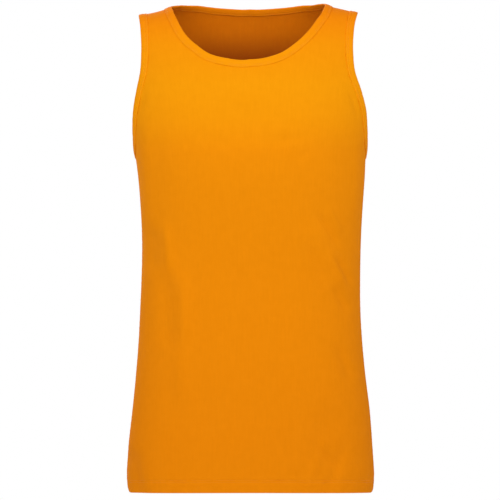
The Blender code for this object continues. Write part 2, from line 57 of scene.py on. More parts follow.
# %% Camera
CAMERA_PLACE = (0.0003, -6.0, -0.354)
LENS_MM = 300
SENSOR_MM = 36

camera_data = bpy.data.cameras.new("studio_camera")
camera_data.lens = LENS_MM
camera_data.sensor_width = SENSOR_MM
camera = bpy.data.objects.new("studio_camera", camera_data)
camera.location = CAMERA_PLACE
camera.rotation_euler = (np.pi / 2, 0, 0)
bpy.context.scene.collection.objects.link(camera)
bpy.context.scene.camera = camera
print("the camera is", -CAMERA_PLACE[1], "m in front")


# %% One function adds a node, with its settings and links
def add_node(tree, kind, inputs=(), **settings):
    """A new node. Each input is given a value, or is linked where it gets another node's output."""
    node = tree.nodes.new(kind)
    for name, value in settings.items():
        setattr(node, name, value)
    for key, value in dict(inputs).items():
        if isinstance(value, bpy.types.NodeSocket):
            tree.links.new(value, node.inputs[key])
        else:
            node.inputs[key].default_value = value
    return node


# %% One function turns a hex colour to linear
def linear(hex_colour):
    """The linear colour, with alpha, of an sRGB hex value."""
    parts = [int(hex_colour[i : i + 2], 16) / 255 for i in (1, 3, 5)]
    return (*[part / 12.92 if part <= 0.04045 else ((part + 0.055) / 1.055) ** 2.4 for part in parts], 1.0)


# %% White surroundings
SURROUND_LIGHT = 0.40
SURROUND_SEEN = 1.0

world = bpy.data.worlds.new("white_studio")
world.use_nodes = True
world.node_tree.nodes.clear()
ray = add_node(world.node_tree, "ShaderNodeLightPath")
white = linear("#FFFFFF")
lighting = add_node(world.node_tree, "ShaderNodeBackground", {"Color": white, "Strength": SURROUND_LIGHT})
seen = add_node(world.node_tree, "ShaderNodeBackground", {"Color": white, "Strength": SURROUND_SEEN})
either = add_node(
    world.node_tree,
    "ShaderNodeMixShader",
    {0: ray.outputs["Is Camera Ray"], 1: lighting.outputs[0], 2: seen.outputs[0]},
)
add_node(world.node_tree, "ShaderNodeOutputWorld", {"Surface": either.outputs[0]})
bpy.context.scene.world = world
bpy.context.scene.view_settings.view_transform = "Standard"
print("surroundings at", SURROUND_LIGHT)

# %% Lamps
Lamp = namedtuple("Lamp", "name place aim size watts")
LAMPS = (
    Lamp("front_lamp_left", (-0.88, -1.42, 0.55), (0.0, 0.0, -0.15), 1.1, 13.7),
    Lamp("front_lamp_right", (0.88, -1.42, 0.55), (0.0, 0.0, -0.15), 1.1, 13.7),
    Lamp("side_lamp_left", (-0.62, -0.10, -0.22), (-0.16, 0.0, -0.22), 0.35, 0.27),
    Lamp("side_lamp_right", (0.62, -0.10, -0.22), (0.16, 0.0, -0.22), 0.35, 0.27),
    Lamp("back_lamp", (-0.50, 2.0, 0.9), (0.0, 0.0, -0.20), 1.6, 42),
)

for lamp in LAMPS:
    light = bpy.data.lights.new(lamp.name, "AREA")
    light.size = lamp.size
    light.energy = lamp.watts
    holder = bpy.data.objects.new(lamp.name, light)
    holder.location = lamp.place
    holder.visible_camera = False
    holder.rotation_euler = (Vector(lamp.aim) - Vector(lamp.place)).to_track_quat("-Z", "Y").to_euler()
    bpy.context.scene.collection.objects.link(holder)
print(len(LAMPS), "lamps")

# %% Floor
FLOOR_HEIGHT = -1.05
FLOOR_RADIUS = 0.9
FLOOR_CORNERS = 96

turn = np.linspace(0, 2 * np.pi, FLOOR_CORNERS, endpoint=False)
rim = [(FLOOR_RADIUS * np.cos(a), FLOOR_RADIUS * np.sin(a), FLOOR_HEIGHT) for a in turn]
floor_mesh = bpy.data.meshes.new("studio_floor")
floor_mesh.from_pydata(rim, [], [range(FLOOR_CORNERS)])
floor = bpy.data.objects.new("studio_floor", floor_mesh)
bpy.context.scene.collection.objects.link(floor)
paint = bpy.data.materials.new("matt_white_floor_paint")
paint.use_nodes = True
paint_shader = paint.node_tree.nodes["Principled BSDF"]
paint_shader.inputs["Base Color"].default_value = linear("#F2F1EF")
paint_shader.inputs["Roughness"].default_value = 0.8
floor_mesh.materials.append(paint)
print("floor", FLOOR_HEIGHT, "m below the shoulders")

# %% [markdown]
# The form under the cloth is a set of level sections, as a tailor's tape would measure a figure, and a
# shoulder line that the cloth rolls over. Each section is a rounded rectangle with its own width and depth.
# The solids were made from the same two tables, so the cloth lies where they are.
# A place on the form is written as a tailor finds it: how far round (girth, -1 to 1 between the side seams)
# and how far down from the shoulder line (way, negative down the front and positive down the back).

# %% The form's tables
FRONT, BACK = -1, 1
Section = namedtuple("Section", "height left right front back")
SECTIONS = (
    Section(0.030, 0.1960, 0.1960, 0.052, 0.058),
    Section(0.000, 0.1950, 0.1955, 0.062, 0.068),
    Section(-0.040, 0.1880, 0.1885, 0.076, 0.082),
    Section(-0.070, 0.1830, 0.1835, 0.086, 0.092),
    Section(-0.100, 0.1785, 0.1790, 0.096, 0.101),
    Section(-0.130, 0.1770, 0.1775, 0.106, 0.108),
    Section(-0.160, 0.1751, 0.1761, 0.114, 0.112),
    Section(-0.185, 0.1712, 0.1727, 0.119, 0.114),
    Section(-0.2125, 0.1652, 0.1672, 0.121, 0.114),
    Section(-0.250, 0.1598, 0.1648, 0.119, 0.111),
    Section(-0.290, 0.1563, 0.1620, 0.114, 0.106),
    Section(-0.340, 0.1547, 0.1594, 0.108, 0.099),
    Section(-0.385, 0.1550, 0.1584, 0.104, 0.095),
    Section(-0.430, 0.1568, 0.1584, 0.103, 0.096),
    Section(-0.480, 0.1592, 0.1608, 0.104, 0.102),
    Section(-0.530, 0.1630, 0.1654, 0.106, 0.109),
    Section(-0.590, 0.1690, 0.1726, 0.108, 0.115),
    Section(-0.640, 0.1745, 0.1762, 0.109, 0.117),
    Section(-0.680, 0.1764, 0.1783, 0.109, 0.116),
    Section(-0.720, 0.1728, 0.1747, 0.109, 0.115),
)
Shoulder = namedtuple("Shoulder", "across left right")
SHOULDER_LINE = (
    Shoulder(0.000, 0.0300, 0.0300),
    Shoulder(0.040, 0.0260, 0.0260),
    Shoulder(0.075, 0.0155, 0.0160),
    Shoulder(0.095, 0.0040, 0.0055),
    Shoulder(0.112, -0.0045, -0.0025),
    Shoulder(0.135, -0.0120, -0.0085),
    Shoulder(0.160, -0.0170, -0.0145),
    Shoulder(0.200, -0.0270, -0.0250),
)
RIDGE_RADIUS = 0.050
SQUARENESS = 2.3
SECTION_ASPECT = 1.45
CHEST_QUARTER = 0.230
print(len(SECTIONS), "sections")


# %% Smooth curves through a table
def column(table, name):
    return np.array([getattr(row, name) for row in table])


def smooth_at(wanted, knots, values):
    """A smooth curve through the knots' values, read at the wanted places."""
    order = np.argsort(knots)
    knots = np.asarray(knots, float)[order]
    values = np.asarray(values, float)[order]
    slopes = np.gradient(values, knots)
    wanted = np.clip(wanted, knots[0], knots[-1])
    index = np.clip(np.searchsorted(knots, wanted) - 1, 0, len(knots) - 2)
    span = knots[index + 1] - knots[index]
    share = (wanted - knots[index]) / span
    rest = 1 - share
    start = values[index] * (1 + 2 * share) * rest**2 + slopes[index] * span * share * rest**2
    end = values[index + 1] * (3 - 2 * share) * share**2 - slopes[index + 1] * span * rest * share**2
    return start + end


def smooth_step(value):
    value = np.clip(value, 0, 1)
    return value * value * (3 - 2 * value)


# %% The rounded section and the roll over the shoulder
ARC_SAMPLES = 4001
START_WIDTH = 0.17  # first guess of a half width
WIDTH_ROUNDS = 9
PROBE = 0.0005  # step for measuring slopes on the cloth

quarter_turn = np.linspace(0, np.pi / 2, ARC_SAMPLES)
WIDTH_SHARE = np.sin(quarter_turn) ** (2 / SQUARENESS)
DEPTH_SHARE = np.cos(quarter_turn) ** (2 / SQUARENESS)
arc = np.cumsum(np.hypot(np.diff(WIDTH_SHARE) * SECTION_ASPECT, np.diff(DEPTH_SHARE)))
GIRTH_SHARE = np.concatenate([[0], arc]) / arc[-1]


def half_width(hand, height):
    heights = column(SECTIONS, "height")
    left = smooth_at(height, heights, column(SECTIONS, "left"))
    right = smooth_at(height, heights, column(SECTIONS, "right"))
    return np.where(hand < 0, left, right)


def shoulder_height(across):
    places = column(SHOULDER_LINE, "across")
    left = smooth_at(np.abs(across), places, column(SHOULDER_LINE, "left"))
    right = smooth_at(np.abs(across), places, column(SHOULDER_LINE, "right"))
    return np.where(across < 0, left, right)


def drop_of(way):
    """Height lost after going this far down over the shoulder."""
    return np.sqrt(way**2 + RIDGE_RADIUS**2) - RIDGE_RADIUS


def way_of(drop):
    """The way down over the shoulder that loses this height."""
    return np.sqrt((np.maximum(drop, 0) + RIDGE_RADIUS) ** 2 - RIDGE_RADIUS**2)


def bare_form(girth, way):
    """Points on the form, with no fold in them."""
    hand = np.where(girth < 0, -1.0, 1.0)
    width = np.interp(np.abs(girth), GIRTH_SHARE, WIDTH_SHARE)
    depth = np.interp(np.abs(girth), GIRTH_SHARE, DEPTH_SHARE)
    drop = drop_of(way)
    across = hand * width * START_WIDTH
    for _ in range(WIDTH_ROUNDS):
        height = shoulder_height(across) - drop
        across = hand * width * half_width(hand, height)
    heights = column(SECTIONS, "height")
    before = smooth_at(height, heights, column(SECTIONS, "front"))
    behind = smooth_at(height, heights, column(SECTIONS, "back"))
    roll = way / np.sqrt(way**2 + RIDGE_RADIUS**2)
    return np.stack([across, np.where(way < 0, before, behind) * depth * roll, height], axis=-1)


def outward(girth, way):
    """The way out of the cloth at each place."""
    probe_girth = PROBE / CHEST_QUARTER
    round_it = bare_form(girth + probe_girth, way) - bare_form(girth - probe_girth, way)
    down_it = bare_form(girth, way + PROBE) - bare_form(girth, way - PROBE)
    normal = np.cross(round_it, down_it)
    return normal / np.linalg.norm(normal, axis=-1)[..., None]


print("chest point:", bare_form(np.array([0.0]), np.array([-0.25])).round(4))

# %% [markdown]
# Jersey that is filled out shows few folds, and they are soft. The picture has long ridges and troughs down
# the left of the waist, fine slanting wrinkles at the right of it, a slight turn-in under the chest, and
# small pulls at the armholes and the hem's corners. Each is a rounded ridge or trough between two points of
# the front view. The largest are in the solids too. The hidden back gets the kind that a fitted top has
# there: a shallow trough over the spine and slanting pulls at the small of the back.

# %% Folds and creases
Crease = namedtuple("Crease", "side x0 z0 x1 z1 bow half_width rise")
FOLDS = (
    Crease(FRONT, -0.106, -0.335, -0.098, -0.590, 0, 0.020, 0.0035),
    Crease(FRONT, 0.075, -0.300, 0.148, -0.430, 0, 0.018, 0.0025),
    Crease(FRONT, 0.118, -0.560, 0.100, -0.690, 0, 0.020, -0.0025),
    Crease(FRONT, 0.000, -0.140, 0.000, -0.215, 0, 0.035, -0.0020),
    Crease(FRONT, -0.144, -0.312, -0.138, -0.392, 0, 0.012, -0.0032),
    Crease(FRONT, -0.117, -0.378, -0.113, -0.506, 0, 0.013, -0.0034),
    Crease(FRONT, -0.172, -0.632, -0.158, -0.712, 0, 0.011, -0.0042),
    Crease(BACK, -0.110, -0.330, -0.030, -0.420, 0, 0.022, 0.0035),
    Crease(BACK, 0.120, -0.320, 0.040, -0.400, 0, 0.020, 0.0030),
    Crease(BACK, 0.000, -0.100, 0.000, -0.330, 0, 0.040, -0.0030),
)
CREASES = (
    Crease(FRONT, -0.122, -0.310, -0.114, -0.396, 0.002, 0.0070, 0.0024),
    Crease(FRONT, -0.095, -0.378, -0.092, -0.502, 0.001, 0.0070, 0.0020),
    Crease(FRONT, -0.111, -0.460, -0.116, -0.600, 0.003, 0.0110, -0.0012),
    Crease(FRONT, -0.148, -0.150, -0.143, -0.345, 0, 0.0110, 0.0024),
    Crease(FRONT, 0.153, -0.170, 0.146, -0.330, 0.002, 0.0090, 0.0018),
    Crease(FRONT, 0.090, -0.296, 0.128, -0.356, 0.002, 0.0048, -0.0021),
    Crease(FRONT, 0.104, -0.284, 0.134, -0.340, 0.001, 0.0042, 0.0016),
    Crease(FRONT, 0.103, -0.350, 0.136, -0.414, 0.002, 0.0050, 0.0020),
    Crease(FRONT, 0.120, -0.356, 0.147, -0.413, 0.001, 0.0052, -0.0027),
    Crease(FRONT, 0.114, -0.400, 0.141, -0.451, 0.002, 0.0052, -0.0024),
    Crease(FRONT, 0.119, -0.482, 0.146, -0.552, 0.003, 0.0075, -0.0026),
    Crease(FRONT, 0.080, -0.335, 0.112, -0.412, -0.003, 0.0060, -0.0015),
    Crease(FRONT, -0.078, -0.193, -0.018, -0.204, -0.002, 0.0080, -0.0007),
    Crease(FRONT, 0.018, -0.203, 0.092, -0.189, -0.002, 0.0070, -0.0012),
    Crease(FRONT, 0.064, -0.224, 0.086, -0.215, 0, 0.0045, -0.0008),
    Crease(FRONT, 0.083, -0.632, 0.132, -0.668, 0.003, 0.0060, -0.0016),
    Crease(FRONT, 0.114, -0.606, 0.078, -0.694, 0.002, 0.0075, 0.0017),
    Crease(FRONT, 0.138, -0.618, 0.106, -0.706, 0.002, 0.0090, -0.0020),
    Crease(FRONT, -0.066, -0.520, -0.071, -0.640, 0.003, 0.0120, -0.0008),
    Crease(FRONT, 0.140, -0.126, 0.155, -0.168, 0.001, 0.0035, -0.0012),
    Crease(FRONT, -0.147, -0.120, -0.158, -0.165, -0.001, 0.0040, -0.0009),
    Crease(FRONT, -0.028, -0.280, -0.038, -0.450, 0.004, 0.0160, -0.0007),
    Crease(FRONT, 0.040, -0.330, 0.052, -0.520, -0.004, 0.0150, -0.0007),
    Crease(BACK, -0.152, -0.215, -0.092, -0.300, 0.006, 0.0080, -0.0017),
    Crease(BACK, 0.150, -0.222, 0.100, -0.292, -0.005, 0.0075, -0.0016),
    Crease(BACK, -0.128, -0.372, -0.046, -0.396, 0.006, 0.0070, -0.0018),
    Crease(BACK, 0.132, -0.352, 0.050, -0.430, -0.006, 0.0075, -0.0017),
    Crease(BACK, -0.060, -0.418, 0.052, -0.408, 0.007, 0.0080, 0.0015),
    Crease(BACK, -0.090, -0.452, 0.020, -0.440, -0.005, 0.0070, -0.0012),
    Crease(BACK, 0.126, -0.470, 0.086, -0.560, 0.004, 0.0080, -0.0015),
    Crease(BACK, -0.118, -0.600, -0.096, -0.695, 0.003, 0.0100, -0.0014),
    Crease(BACK, 0.070, -0.590, 0.082, -0.700, -0.003, 0.0100, 0.0012),
    Crease(BACK, -0.100, -0.100, -0.060, -0.190, 0.004, 0.0100, -0.0009),
    Crease(BACK, 0.104, -0.110, 0.066, -0.185, -0.004, 0.0100, -0.0009),
)
FOLD_END = 0.3  # share of a fold's length over which it fades at each end
CREASE_END = 0.35
SEAM_FADE = 0.016  # how near to a side seam the folds fade, so that front and back meet
SKIN = 0.0003  # brings the cloth's outer face to that of the thicker solids


def rise_of(creases, end_share, way, points):
    """How far a table of creases pushes the cloth out at each place."""
    rise = np.zeros(points.shape[:-1])
    for crease in creases:
        start = np.array([crease.x0, crease.z0])
        along = np.array([crease.x1, crease.z1]) - start
        length = np.linalg.norm(along)
        along = along / length
        offset = points[..., [0, 2]] - start
        run = offset @ along / length
        bowed = crease.bow * 4 * run * (1 - run)
        away = offset @ np.array([-along[1], along[0]]) - bowed
        ends = smooth_step(run / end_share) * smooth_step((1 - run) / end_share)
        here = ends * np.exp(-((away / crease.half_width) ** 2)) * (way * crease.side > 0)
        rise += crease.rise * here
    return rise


def cloth(girth, way, lift=0.0):
    """Points on the folded cloth's middle, moved out by lift, with the way out at each."""
    girth, way = np.asarray(girth, float), np.asarray(way, float)
    points = bare_form(girth, way)
    normal = outward(girth, way)
    clear_of_seams = smooth_step((1 - np.abs(girth)) * CHEST_QUARTER / SEAM_FADE)
    folded = rise_of(FOLDS, FOLD_END, way, points) + rise_of(CREASES, CREASE_END, way, points)
    rise = folded * clear_of_seams + lift + SKIN
    return points + normal * rise[..., None], normal


print(len(FOLDS), "folds and", len(CREASES), "creases")

# %% [markdown]
# The cut edges come next, because the panels, the bindings and the stitching all follow them.
# Each edge is drawn as a smooth line through a few points of the front view, which is where the picture
# shows them. The neck hole is one closed line over both shoulders. An armhole runs from the underarm up
# the front, over the shoulder tip and down the back.

# %% The neck hole and the armholes
EdgePoint = namedtuple("EdgePoint", "across height")
NECK_LEFT, NECK_RIGHT = -0.1125, 0.1085
FRONT_NECKLINE = (
    EdgePoint(-0.1105, -0.0140),
    EdgePoint(-0.1063, -0.0235),
    EdgePoint(-0.0948, -0.0450),
    EdgePoint(-0.0780, -0.0622),
    EdgePoint(-0.0550, -0.0777),
    EdgePoint(-0.0150, -0.0858),
    EdgePoint(0.0200, -0.0830),
    EdgePoint(0.0450, -0.0750),
    EdgePoint(0.0680, -0.0590),
    EdgePoint(0.0840, -0.0432),
    EdgePoint(0.0970, -0.0258),
    EdgePoint(0.1050, -0.0140),
)
BACK_NECKLINE = (
    EdgePoint(0.0930, -0.0010),
    EdgePoint(0.0800, -0.0012),
    EdgePoint(0.0580, -0.0032),
    EdgePoint(0.0300, -0.0053),
    EdgePoint(0.0000, -0.0058),
    EdgePoint(-0.0300, -0.0053),
    EdgePoint(-0.0580, -0.0032),
    EdgePoint(-0.0820, -0.0015),
    EdgePoint(-0.0960, -0.0018),
)
SHOULDER_TIP = {-1: -0.1585, 1: 0.1540}
UNDERARM = -0.2125
ArmholeRow = namedtuple("ArmholeRow", "height left right")
ARMHOLE = (
    ArmholeRow(-0.0350, -0.1553, 0.1480),
    ArmholeRow(-0.0700, -0.1535, 0.1460),
    ArmholeRow(-0.1000, -0.1551, 0.1488),
    ArmholeRow(-0.1300, -0.1612, 0.1588),
    ArmholeRow(-0.1550, -0.1652, 0.1648),
    ArmholeRow(-0.1800, -0.1663, 0.1667),
    ArmholeRow(-0.1990, -0.1660, 0.1674),
)
LINE_SAMPLES = 24


def place_on_form(across, height):
    """Girth and way down of a point that is known by its place in the front view."""
    share = np.clip(np.abs(across) / half_width(across, height), 0, 1)
    girth = np.sign(across) * np.interp(share, WIDTH_SHARE, GIRTH_SHARE)
    return girth, way_of(shoulder_height(across) - height)


def ridge_girth(across):
    place = np.array([across])
    girth, _ = place_on_form(place, shoulder_height(place))
    return girth[0]


def spline(padded):
    """A smooth line from the second point to the last but one. The outer two only turn its ends."""
    line = []
    for before, start, end, after in zip(padded, padded[1:], padded[2:], padded[3:]):
        first = np.linalg.norm(start - before) ** 0.5
        span = np.linalg.norm(end - start) ** 0.5
        last = np.linalg.norm(after - end) ** 0.5
        slope_in = ((start - before) / first - (end - before) / (first + span) + (end - start) / span) * span
        slope_out = ((end - start) / span - (after - start) / (span + last) + (after - end) / last) * span
        for share in np.arange(LINE_SAMPLES) / LINE_SAMPLES:
            rest = 1 - share
            line.append(
                start * (1 + 2 * share) * rest**2
                + slope_in * share * rest**2
                + end * (3 - 2 * share) * share**2
                - slope_out * rest * share**2
            )
    line.append(padded[-2])
    return np.array(line)


def neck_lines():
    """The neck hole's edge, left to right on the front and right to left on the back."""
    knots = []
    for table, side, seam in ((FRONT_NECKLINE, FRONT, NECK_RIGHT), (BACK_NECKLINE, BACK, NECK_LEFT)):
        girth, way = place_on_form(column(table, "across"), column(table, "height"))
        knots += [np.array([g * CHEST_QUARTER, side * w]) for g, w in zip(girth, way)]
        knots.append(np.array([ridge_girth(seam) * CHEST_QUARTER, 0.0]))
    # The loop starts and ends at the last knot, on the left shoulder seam.
    line = spline([knots[-2], knots[-1], *knots, knots[0]]) / np.array([CHEST_QUARTER, 1.0])
    seam_at = (len(FRONT_NECKLINE) + 1) * LINE_SAMPLES
    return {FRONT: line[: seam_at + 1], BACK: line[seam_at:]}


def armhole_line(hand, side):
    """An armhole's edge from shoulder tip to underarm. Hand is -1 at the viewer's left and 1 at the right."""
    across = column(ARMHOLE, "left" if hand < 0 else "right")
    girth, way = place_on_form(across, column(ARMHOLE, "height"))
    underarm_width = half_width(hand, np.array([UNDERARM]))
    underarm_way = way_of(shoulder_height(hand * underarm_width) - UNDERARM)[0]
    knots = [np.array([ridge_girth(SHOULDER_TIP[hand]) * CHEST_QUARTER, 0.0])]
    knots += [np.array([g * CHEST_QUARTER, w]) for g, w in zip(girth, way)]
    knots.append(np.array([hand * CHEST_QUARTER, underarm_way]))
    # A mirrored knot at each end turns the line square to the shoulder seam and to the side seam.
    before = knots[1] * np.array([1, -1])
    after = np.array([2 * hand * CHEST_QUARTER - knots[-2][0], knots[-2][1]])
    line = spline([before, *knots, after])
    return line * np.array([1 / CHEST_QUARTER, side])


def even_line(line, step):
    """The line resampled to equal steps, measured along the cloth."""
    points = bare_form(line[:, 0], line[:, 1])
    run = np.concatenate([[0], np.cumsum(np.linalg.norm(np.diff(points, axis=0), axis=1))])
    wanted = np.linspace(0, run[-1], round(run[-1] / step) + 1)
    return np.stack([np.interp(wanted, run, line[:, 0]), np.interp(wanted, run, line[:, 1])], axis=1)


MILLIMETRE = 0.001
NECK = neck_lines()
print("front neck edge:", len(even_line(NECK[FRONT], MILLIMETRE)), "mm")

# %% [markdown]
# The hem is the panel's lower edge, turned up 20 mm to the inside and held by two rows of stitching.
# Its corners lift a little at the side seams, which is why they look rounded in the picture.

# %% The hem's edge
HEM_FRONT, HEM_SIDE, HEM_BACK = -0.6975, -0.7030, -0.7060
HEM_CORNER_RISE = 0.0080
HEM_CORNER = 0.17
HEM_TURN = 0.0195


def hem_way(side, girth):
    """How far down the folded lower edge lies at each girth, never negative."""
    middle = HEM_FRONT if side == FRONT else HEM_BACK
    level = middle + (HEM_SIDE - middle) * np.abs(girth) ** 2
    corner = smooth_step((np.abs(girth) - (1 - HEM_CORNER)) / HEM_CORNER)
    height = level + HEM_CORNER_RISE * corner**2
    width = np.interp(np.abs(girth), GIRTH_SHARE, WIDTH_SHARE)
    across = np.sign(girth) * width * half_width(girth, height)
    return way_of(shoulder_height(across) - height)


print("hem is", round(float(hem_way(FRONT, np.array([0.0]))[0]), 3), "m down the front")

# %% [markdown]
# Cotton jersey with a little elastane is a single knit: fine upright columns of V-shaped loops, called
# wales. It is dyed in the piece, so its colour is even, but the yarn's thick and thin places leave faint
# upright streaks. Its surface is matt, with a very short fuzz that catches light at grazing angles.
# The pattern is worked out on a map in metres that follows the cloth, so the wales run down the garment.
# Real wales are 0.7 mm wide, too fine for the picture, so they are drawn at twice that.

# %% Jersey and binding cloth
WALE = 0.0014  # width of one column of loops
COURSE = 0.0012  # height of one row of loops
LOOP_SHARE = 0.45  # relief of the rows of loops, over that of the columns
STREAK_WIDE, STREAK_LONG = 0.0028, 0.030
STREAK_SHARE = 0.5  # relief of the streaks, over that of the columns
MOTTLE = 0.011
DYE_FROM, DYE_TO = 0.65, 1.35  # sums of streak and mottle that get the dark and the pale dye
KNIT_BUMP = 0.5
INSIDE_SHADE_FROM, INSIDE_SHADE_TO = -0.024, -0.092  # heights between which the inside is painted darker, painted shade of the hollow
# Painted light: the outside's share of green at each height, raised on the chest where the lamps fall
# strongest and lowered at the hem and the shoulder roll.
Tint = namedtuple("Tint", "height green")
PAINTED_LIGHT_TINTS = (
    Tint(-0.620, 0.905),
    Tint(-0.400, 0.945),
    Tint(-0.215, 0.990),
    Tint(-0.165, 1.090),
    Tint(-0.120, 1.130),
    Tint(-0.060, 1.040),
    Tint(-0.025, 0.900),
    Tint(-0.005, 0.820),
)


def set_painted_light_tints(ramp):
    """Sets a colour ramp to the painted light's share of green at each of the heights."""
    span = PAINTED_LIGHT_TINTS[-1].height - PAINTED_LIGHT_TINTS[0].height
    for tint in PAINTED_LIGHT_TINTS[1:-1]:
        ramp.elements.new((tint.height - PAINTED_LIGHT_TINTS[0].height) / span)
    for element, tint in zip(ramp.elements, PAINTED_LIGHT_TINTS):
        element.color = (1.0, tint.green, 1.0, 1.0)


def knit_material(name, dark, pale, deep, relief, roughness):
    """A single-knit cloth: wales and courses as relief, with streaks and mottling in its colour, and painted
    light by height: painted light on the outside, painted shade down the inside.
    """
    material = bpy.data.materials.new(name)
    material.use_nodes = True
    tree = material.node_tree
    tree.nodes.clear()
    grain = add_node(tree, "ShaderNodeUVMap", uv_map="grain")
    place = add_node(tree, "ShaderNodeSeparateXYZ", {0: grain.outputs[0]})

    wale = add_node(tree, "ShaderNodeMath", {0: place.outputs[0], 1: WALE}, operation="DIVIDE")
    course = add_node(tree, "ShaderNodeMath", {0: place.outputs[1], 1: COURSE}, operation="DIVIDE")
    leg = add_node(tree, "ShaderNodeMath", {0: wale.outputs[0], 1: 0.5}, operation="PINGPONG")
    loop = add_node(tree, "ShaderNodeMath", {0: course.outputs[0], 1: leg.outputs[0]}, operation="ADD")
    loop_turn = add_node(tree, "ShaderNodeMath", {0: loop.outputs[0], 1: 2 * np.pi}, operation="MULTIPLY")
    loop_height = add_node(tree, "ShaderNodeMath", {0: loop_turn.outputs[0]}, operation="SINE")
    wale_turn = add_node(tree, "ShaderNodeMath", {0: wale.outputs[0], 1: 2 * np.pi}, operation="MULTIPLY")
    wale_height = add_node(tree, "ShaderNodeMath", {0: wale_turn.outputs[0]}, operation="COSINE")
    knit = add_node(
        tree,
        "ShaderNodeMath",
        {0: loop_height.outputs[0], 1: LOOP_SHARE, 2: wale_height.outputs[0]},
        operation="MULTIPLY_ADD",
    )

    across = add_node(tree, "ShaderNodeMath", {0: place.outputs[0], 1: STREAK_WIDE}, operation="DIVIDE")
    along = add_node(tree, "ShaderNodeMath", {0: place.outputs[1], 1: STREAK_LONG}, operation="DIVIDE")
    yarn = add_node(tree, "ShaderNodeCombineXYZ", {0: across.outputs[0], 1: along.outputs[0]})
    streak = add_node(tree, "ShaderNodeTexNoise", {"Vector": yarn.outputs[0], "Scale": 1.0, "Detail": 3.0})
    object_place = add_node(tree, "ShaderNodeTexCoord")
    mottle = add_node(
        tree,
        "ShaderNodeTexNoise",
        {"Vector": object_place.outputs["Object"], "Scale": 1 / MOTTLE, "Detail": 4.0},
    )
    both = add_node(tree, "ShaderNodeMath", {0: streak.outputs[0], 1: mottle.outputs[0]}, operation="ADD")
    dye = add_node(
        tree, "ShaderNodeMapRange", {"Value": both.outputs[0], "From Min": DYE_FROM, "From Max": DYE_TO}
    )
    colour = add_node(
        tree,
        "ShaderNodeMix",
        {"Factor": dye.outputs[0], 6: linear(dark), 7: linear(pale)},
        data_type="RGBA",
    )
    level = add_node(tree, "ShaderNodeSeparateXYZ", {0: object_place.outputs["Object"]})
    # Outside, painted light: the cloth is painted yellower and brighter on the chest, where the lamps fall
    # strongest, and redder and darker towards the hem and the shoulders.
    # Inside, painted shade: it is painted darker further down, for the shade in the hollow.
    if deep:
        depth = add_node(
            tree,
            "ShaderNodeMapRange",
            {"Value": level.outputs[2], "From Min": INSIDE_SHADE_FROM, "From Max": INSIDE_SHADE_TO},
            interpolation_type="SMOOTHSTEP",
        )
        shaded = add_node(
            tree,
            "ShaderNodeMix",
            {"Factor": depth.outputs[0], 6: colour.outputs[2], 7: linear(deep)},
            data_type="RGBA",
        )
    else:
        tint = add_node(
            tree,
            "ShaderNodeMapRange",
            {"Value": level.outputs[2], "From Min": PAINTED_LIGHT_TINTS[0].height, "From Max": PAINTED_LIGHT_TINTS[-1].height},
        )
        ramp = add_node(tree, "ShaderNodeValToRGB", {0: tint.outputs[0]})
        set_painted_light_tints(ramp.color_ramp)
        shaded = add_node(
            tree,
            "ShaderNodeMix",
            {"Factor": 1.0, 6: colour.outputs[2], 7: ramp.outputs[0]},
            data_type="RGBA",
            blend_type="MULTIPLY",
        )
    height = add_node(
        tree,
        "ShaderNodeMath",
        {0: both.outputs[0], 1: STREAK_SHARE, 2: knit.outputs[0]},
        operation="MULTIPLY_ADD",
    )
    bump = add_node(
        tree, "ShaderNodeBump", {"Height": height.outputs[0], "Strength": KNIT_BUMP, "Distance": relief}
    )
    cotton = add_node(
        tree,
        "ShaderNodeBsdfPrincipled",
        {
            "Base Color": shaded.outputs[2],
            "Roughness": roughness,
            "IOR": 1.5,
            "Specular IOR Level": 0.05,
            "Sheen Weight": 0.02,
            "Sheen Roughness": 0.45,
            "Sheen Tint": linear("#FFB45A"),
            "Normal": bump.outputs[0],
        },
    )
    add_node(tree, "ShaderNodeOutputMaterial", {"Surface": cotton.outputs[0]})
    return material


jersey = knit_material("cotton_elastane_single_jersey", "#EF8D02", "#F39105", None, 0.00012, 0.88)
# The reverse is darker and redder than the face: partly the knit's own duller back, partly painted shade for
# the dim inside. Below the neck it is painted darker still, towards #A0460C, as painted shade of the hollow.
reverse = knit_material("single_jersey_reverse_side_painted_shade", "#E07506", "#E67B07", "#A0460C", 0.00012, 0.92)
binding_jersey = knit_material("cotton_jersey_folded_binding", "#F18F03", "#F49305", None, 0.00010, 0.86)
print(jersey.name, "and", binding_jersey.name)


# %% [markdown]
# The thread is spun polyester, dyed to match. It is smoother and a little shinier than the cotton,
# so the stitches show as a row of small lights along the groove that they pull into the cloth.

# %% Thread
def thread_material():
    material = bpy.data.materials.new("spun_polyester_sewing_thread")
    material.use_nodes = True
    tree = material.node_tree
    tree.nodes.clear()
    place = add_node(tree, "ShaderNodeTexCoord")
    uneven = add_node(
        tree, "ShaderNodeTexNoise", {"Vector": place.outputs["Object"], "Scale": 450.0, "Detail": 2.0}
    )
    colour = add_node(
        tree,
        "ShaderNodeMix",
        {"Factor": uneven.outputs[0], 6: linear("#E8860C"), 7: linear("#FBA020")},
        data_type="RGBA",
    )
    thread = add_node(
        tree,
        "ShaderNodeBsdfPrincipled",
        {
            "Base Color": colour.outputs[2],
            "Roughness": 0.6,
            "Specular IOR Level": 0.25,
            "Sheen Weight": 0.05,
        },
    )
    add_node(tree, "ShaderNodeOutputMaterial", {"Surface": thread.outputs[0]})
    return material


thread = thread_material()
print(thread.name)

# %% [markdown]
# A panel is one layer of cloth. It could be a grid stretched to the outline, but that would crowd the
# straps and skew the grid under the neck. Here an even lattice of points fills the outline, and a
# triangulation joins them, so every part of the cloth is equally fine and takes its creases well.
# The hem is laid out in rows instead, because its stitching needs straight grooves.
# Behind the side and shoulder seams each panel runs on by 7 mm, turned in and pressed to the back.

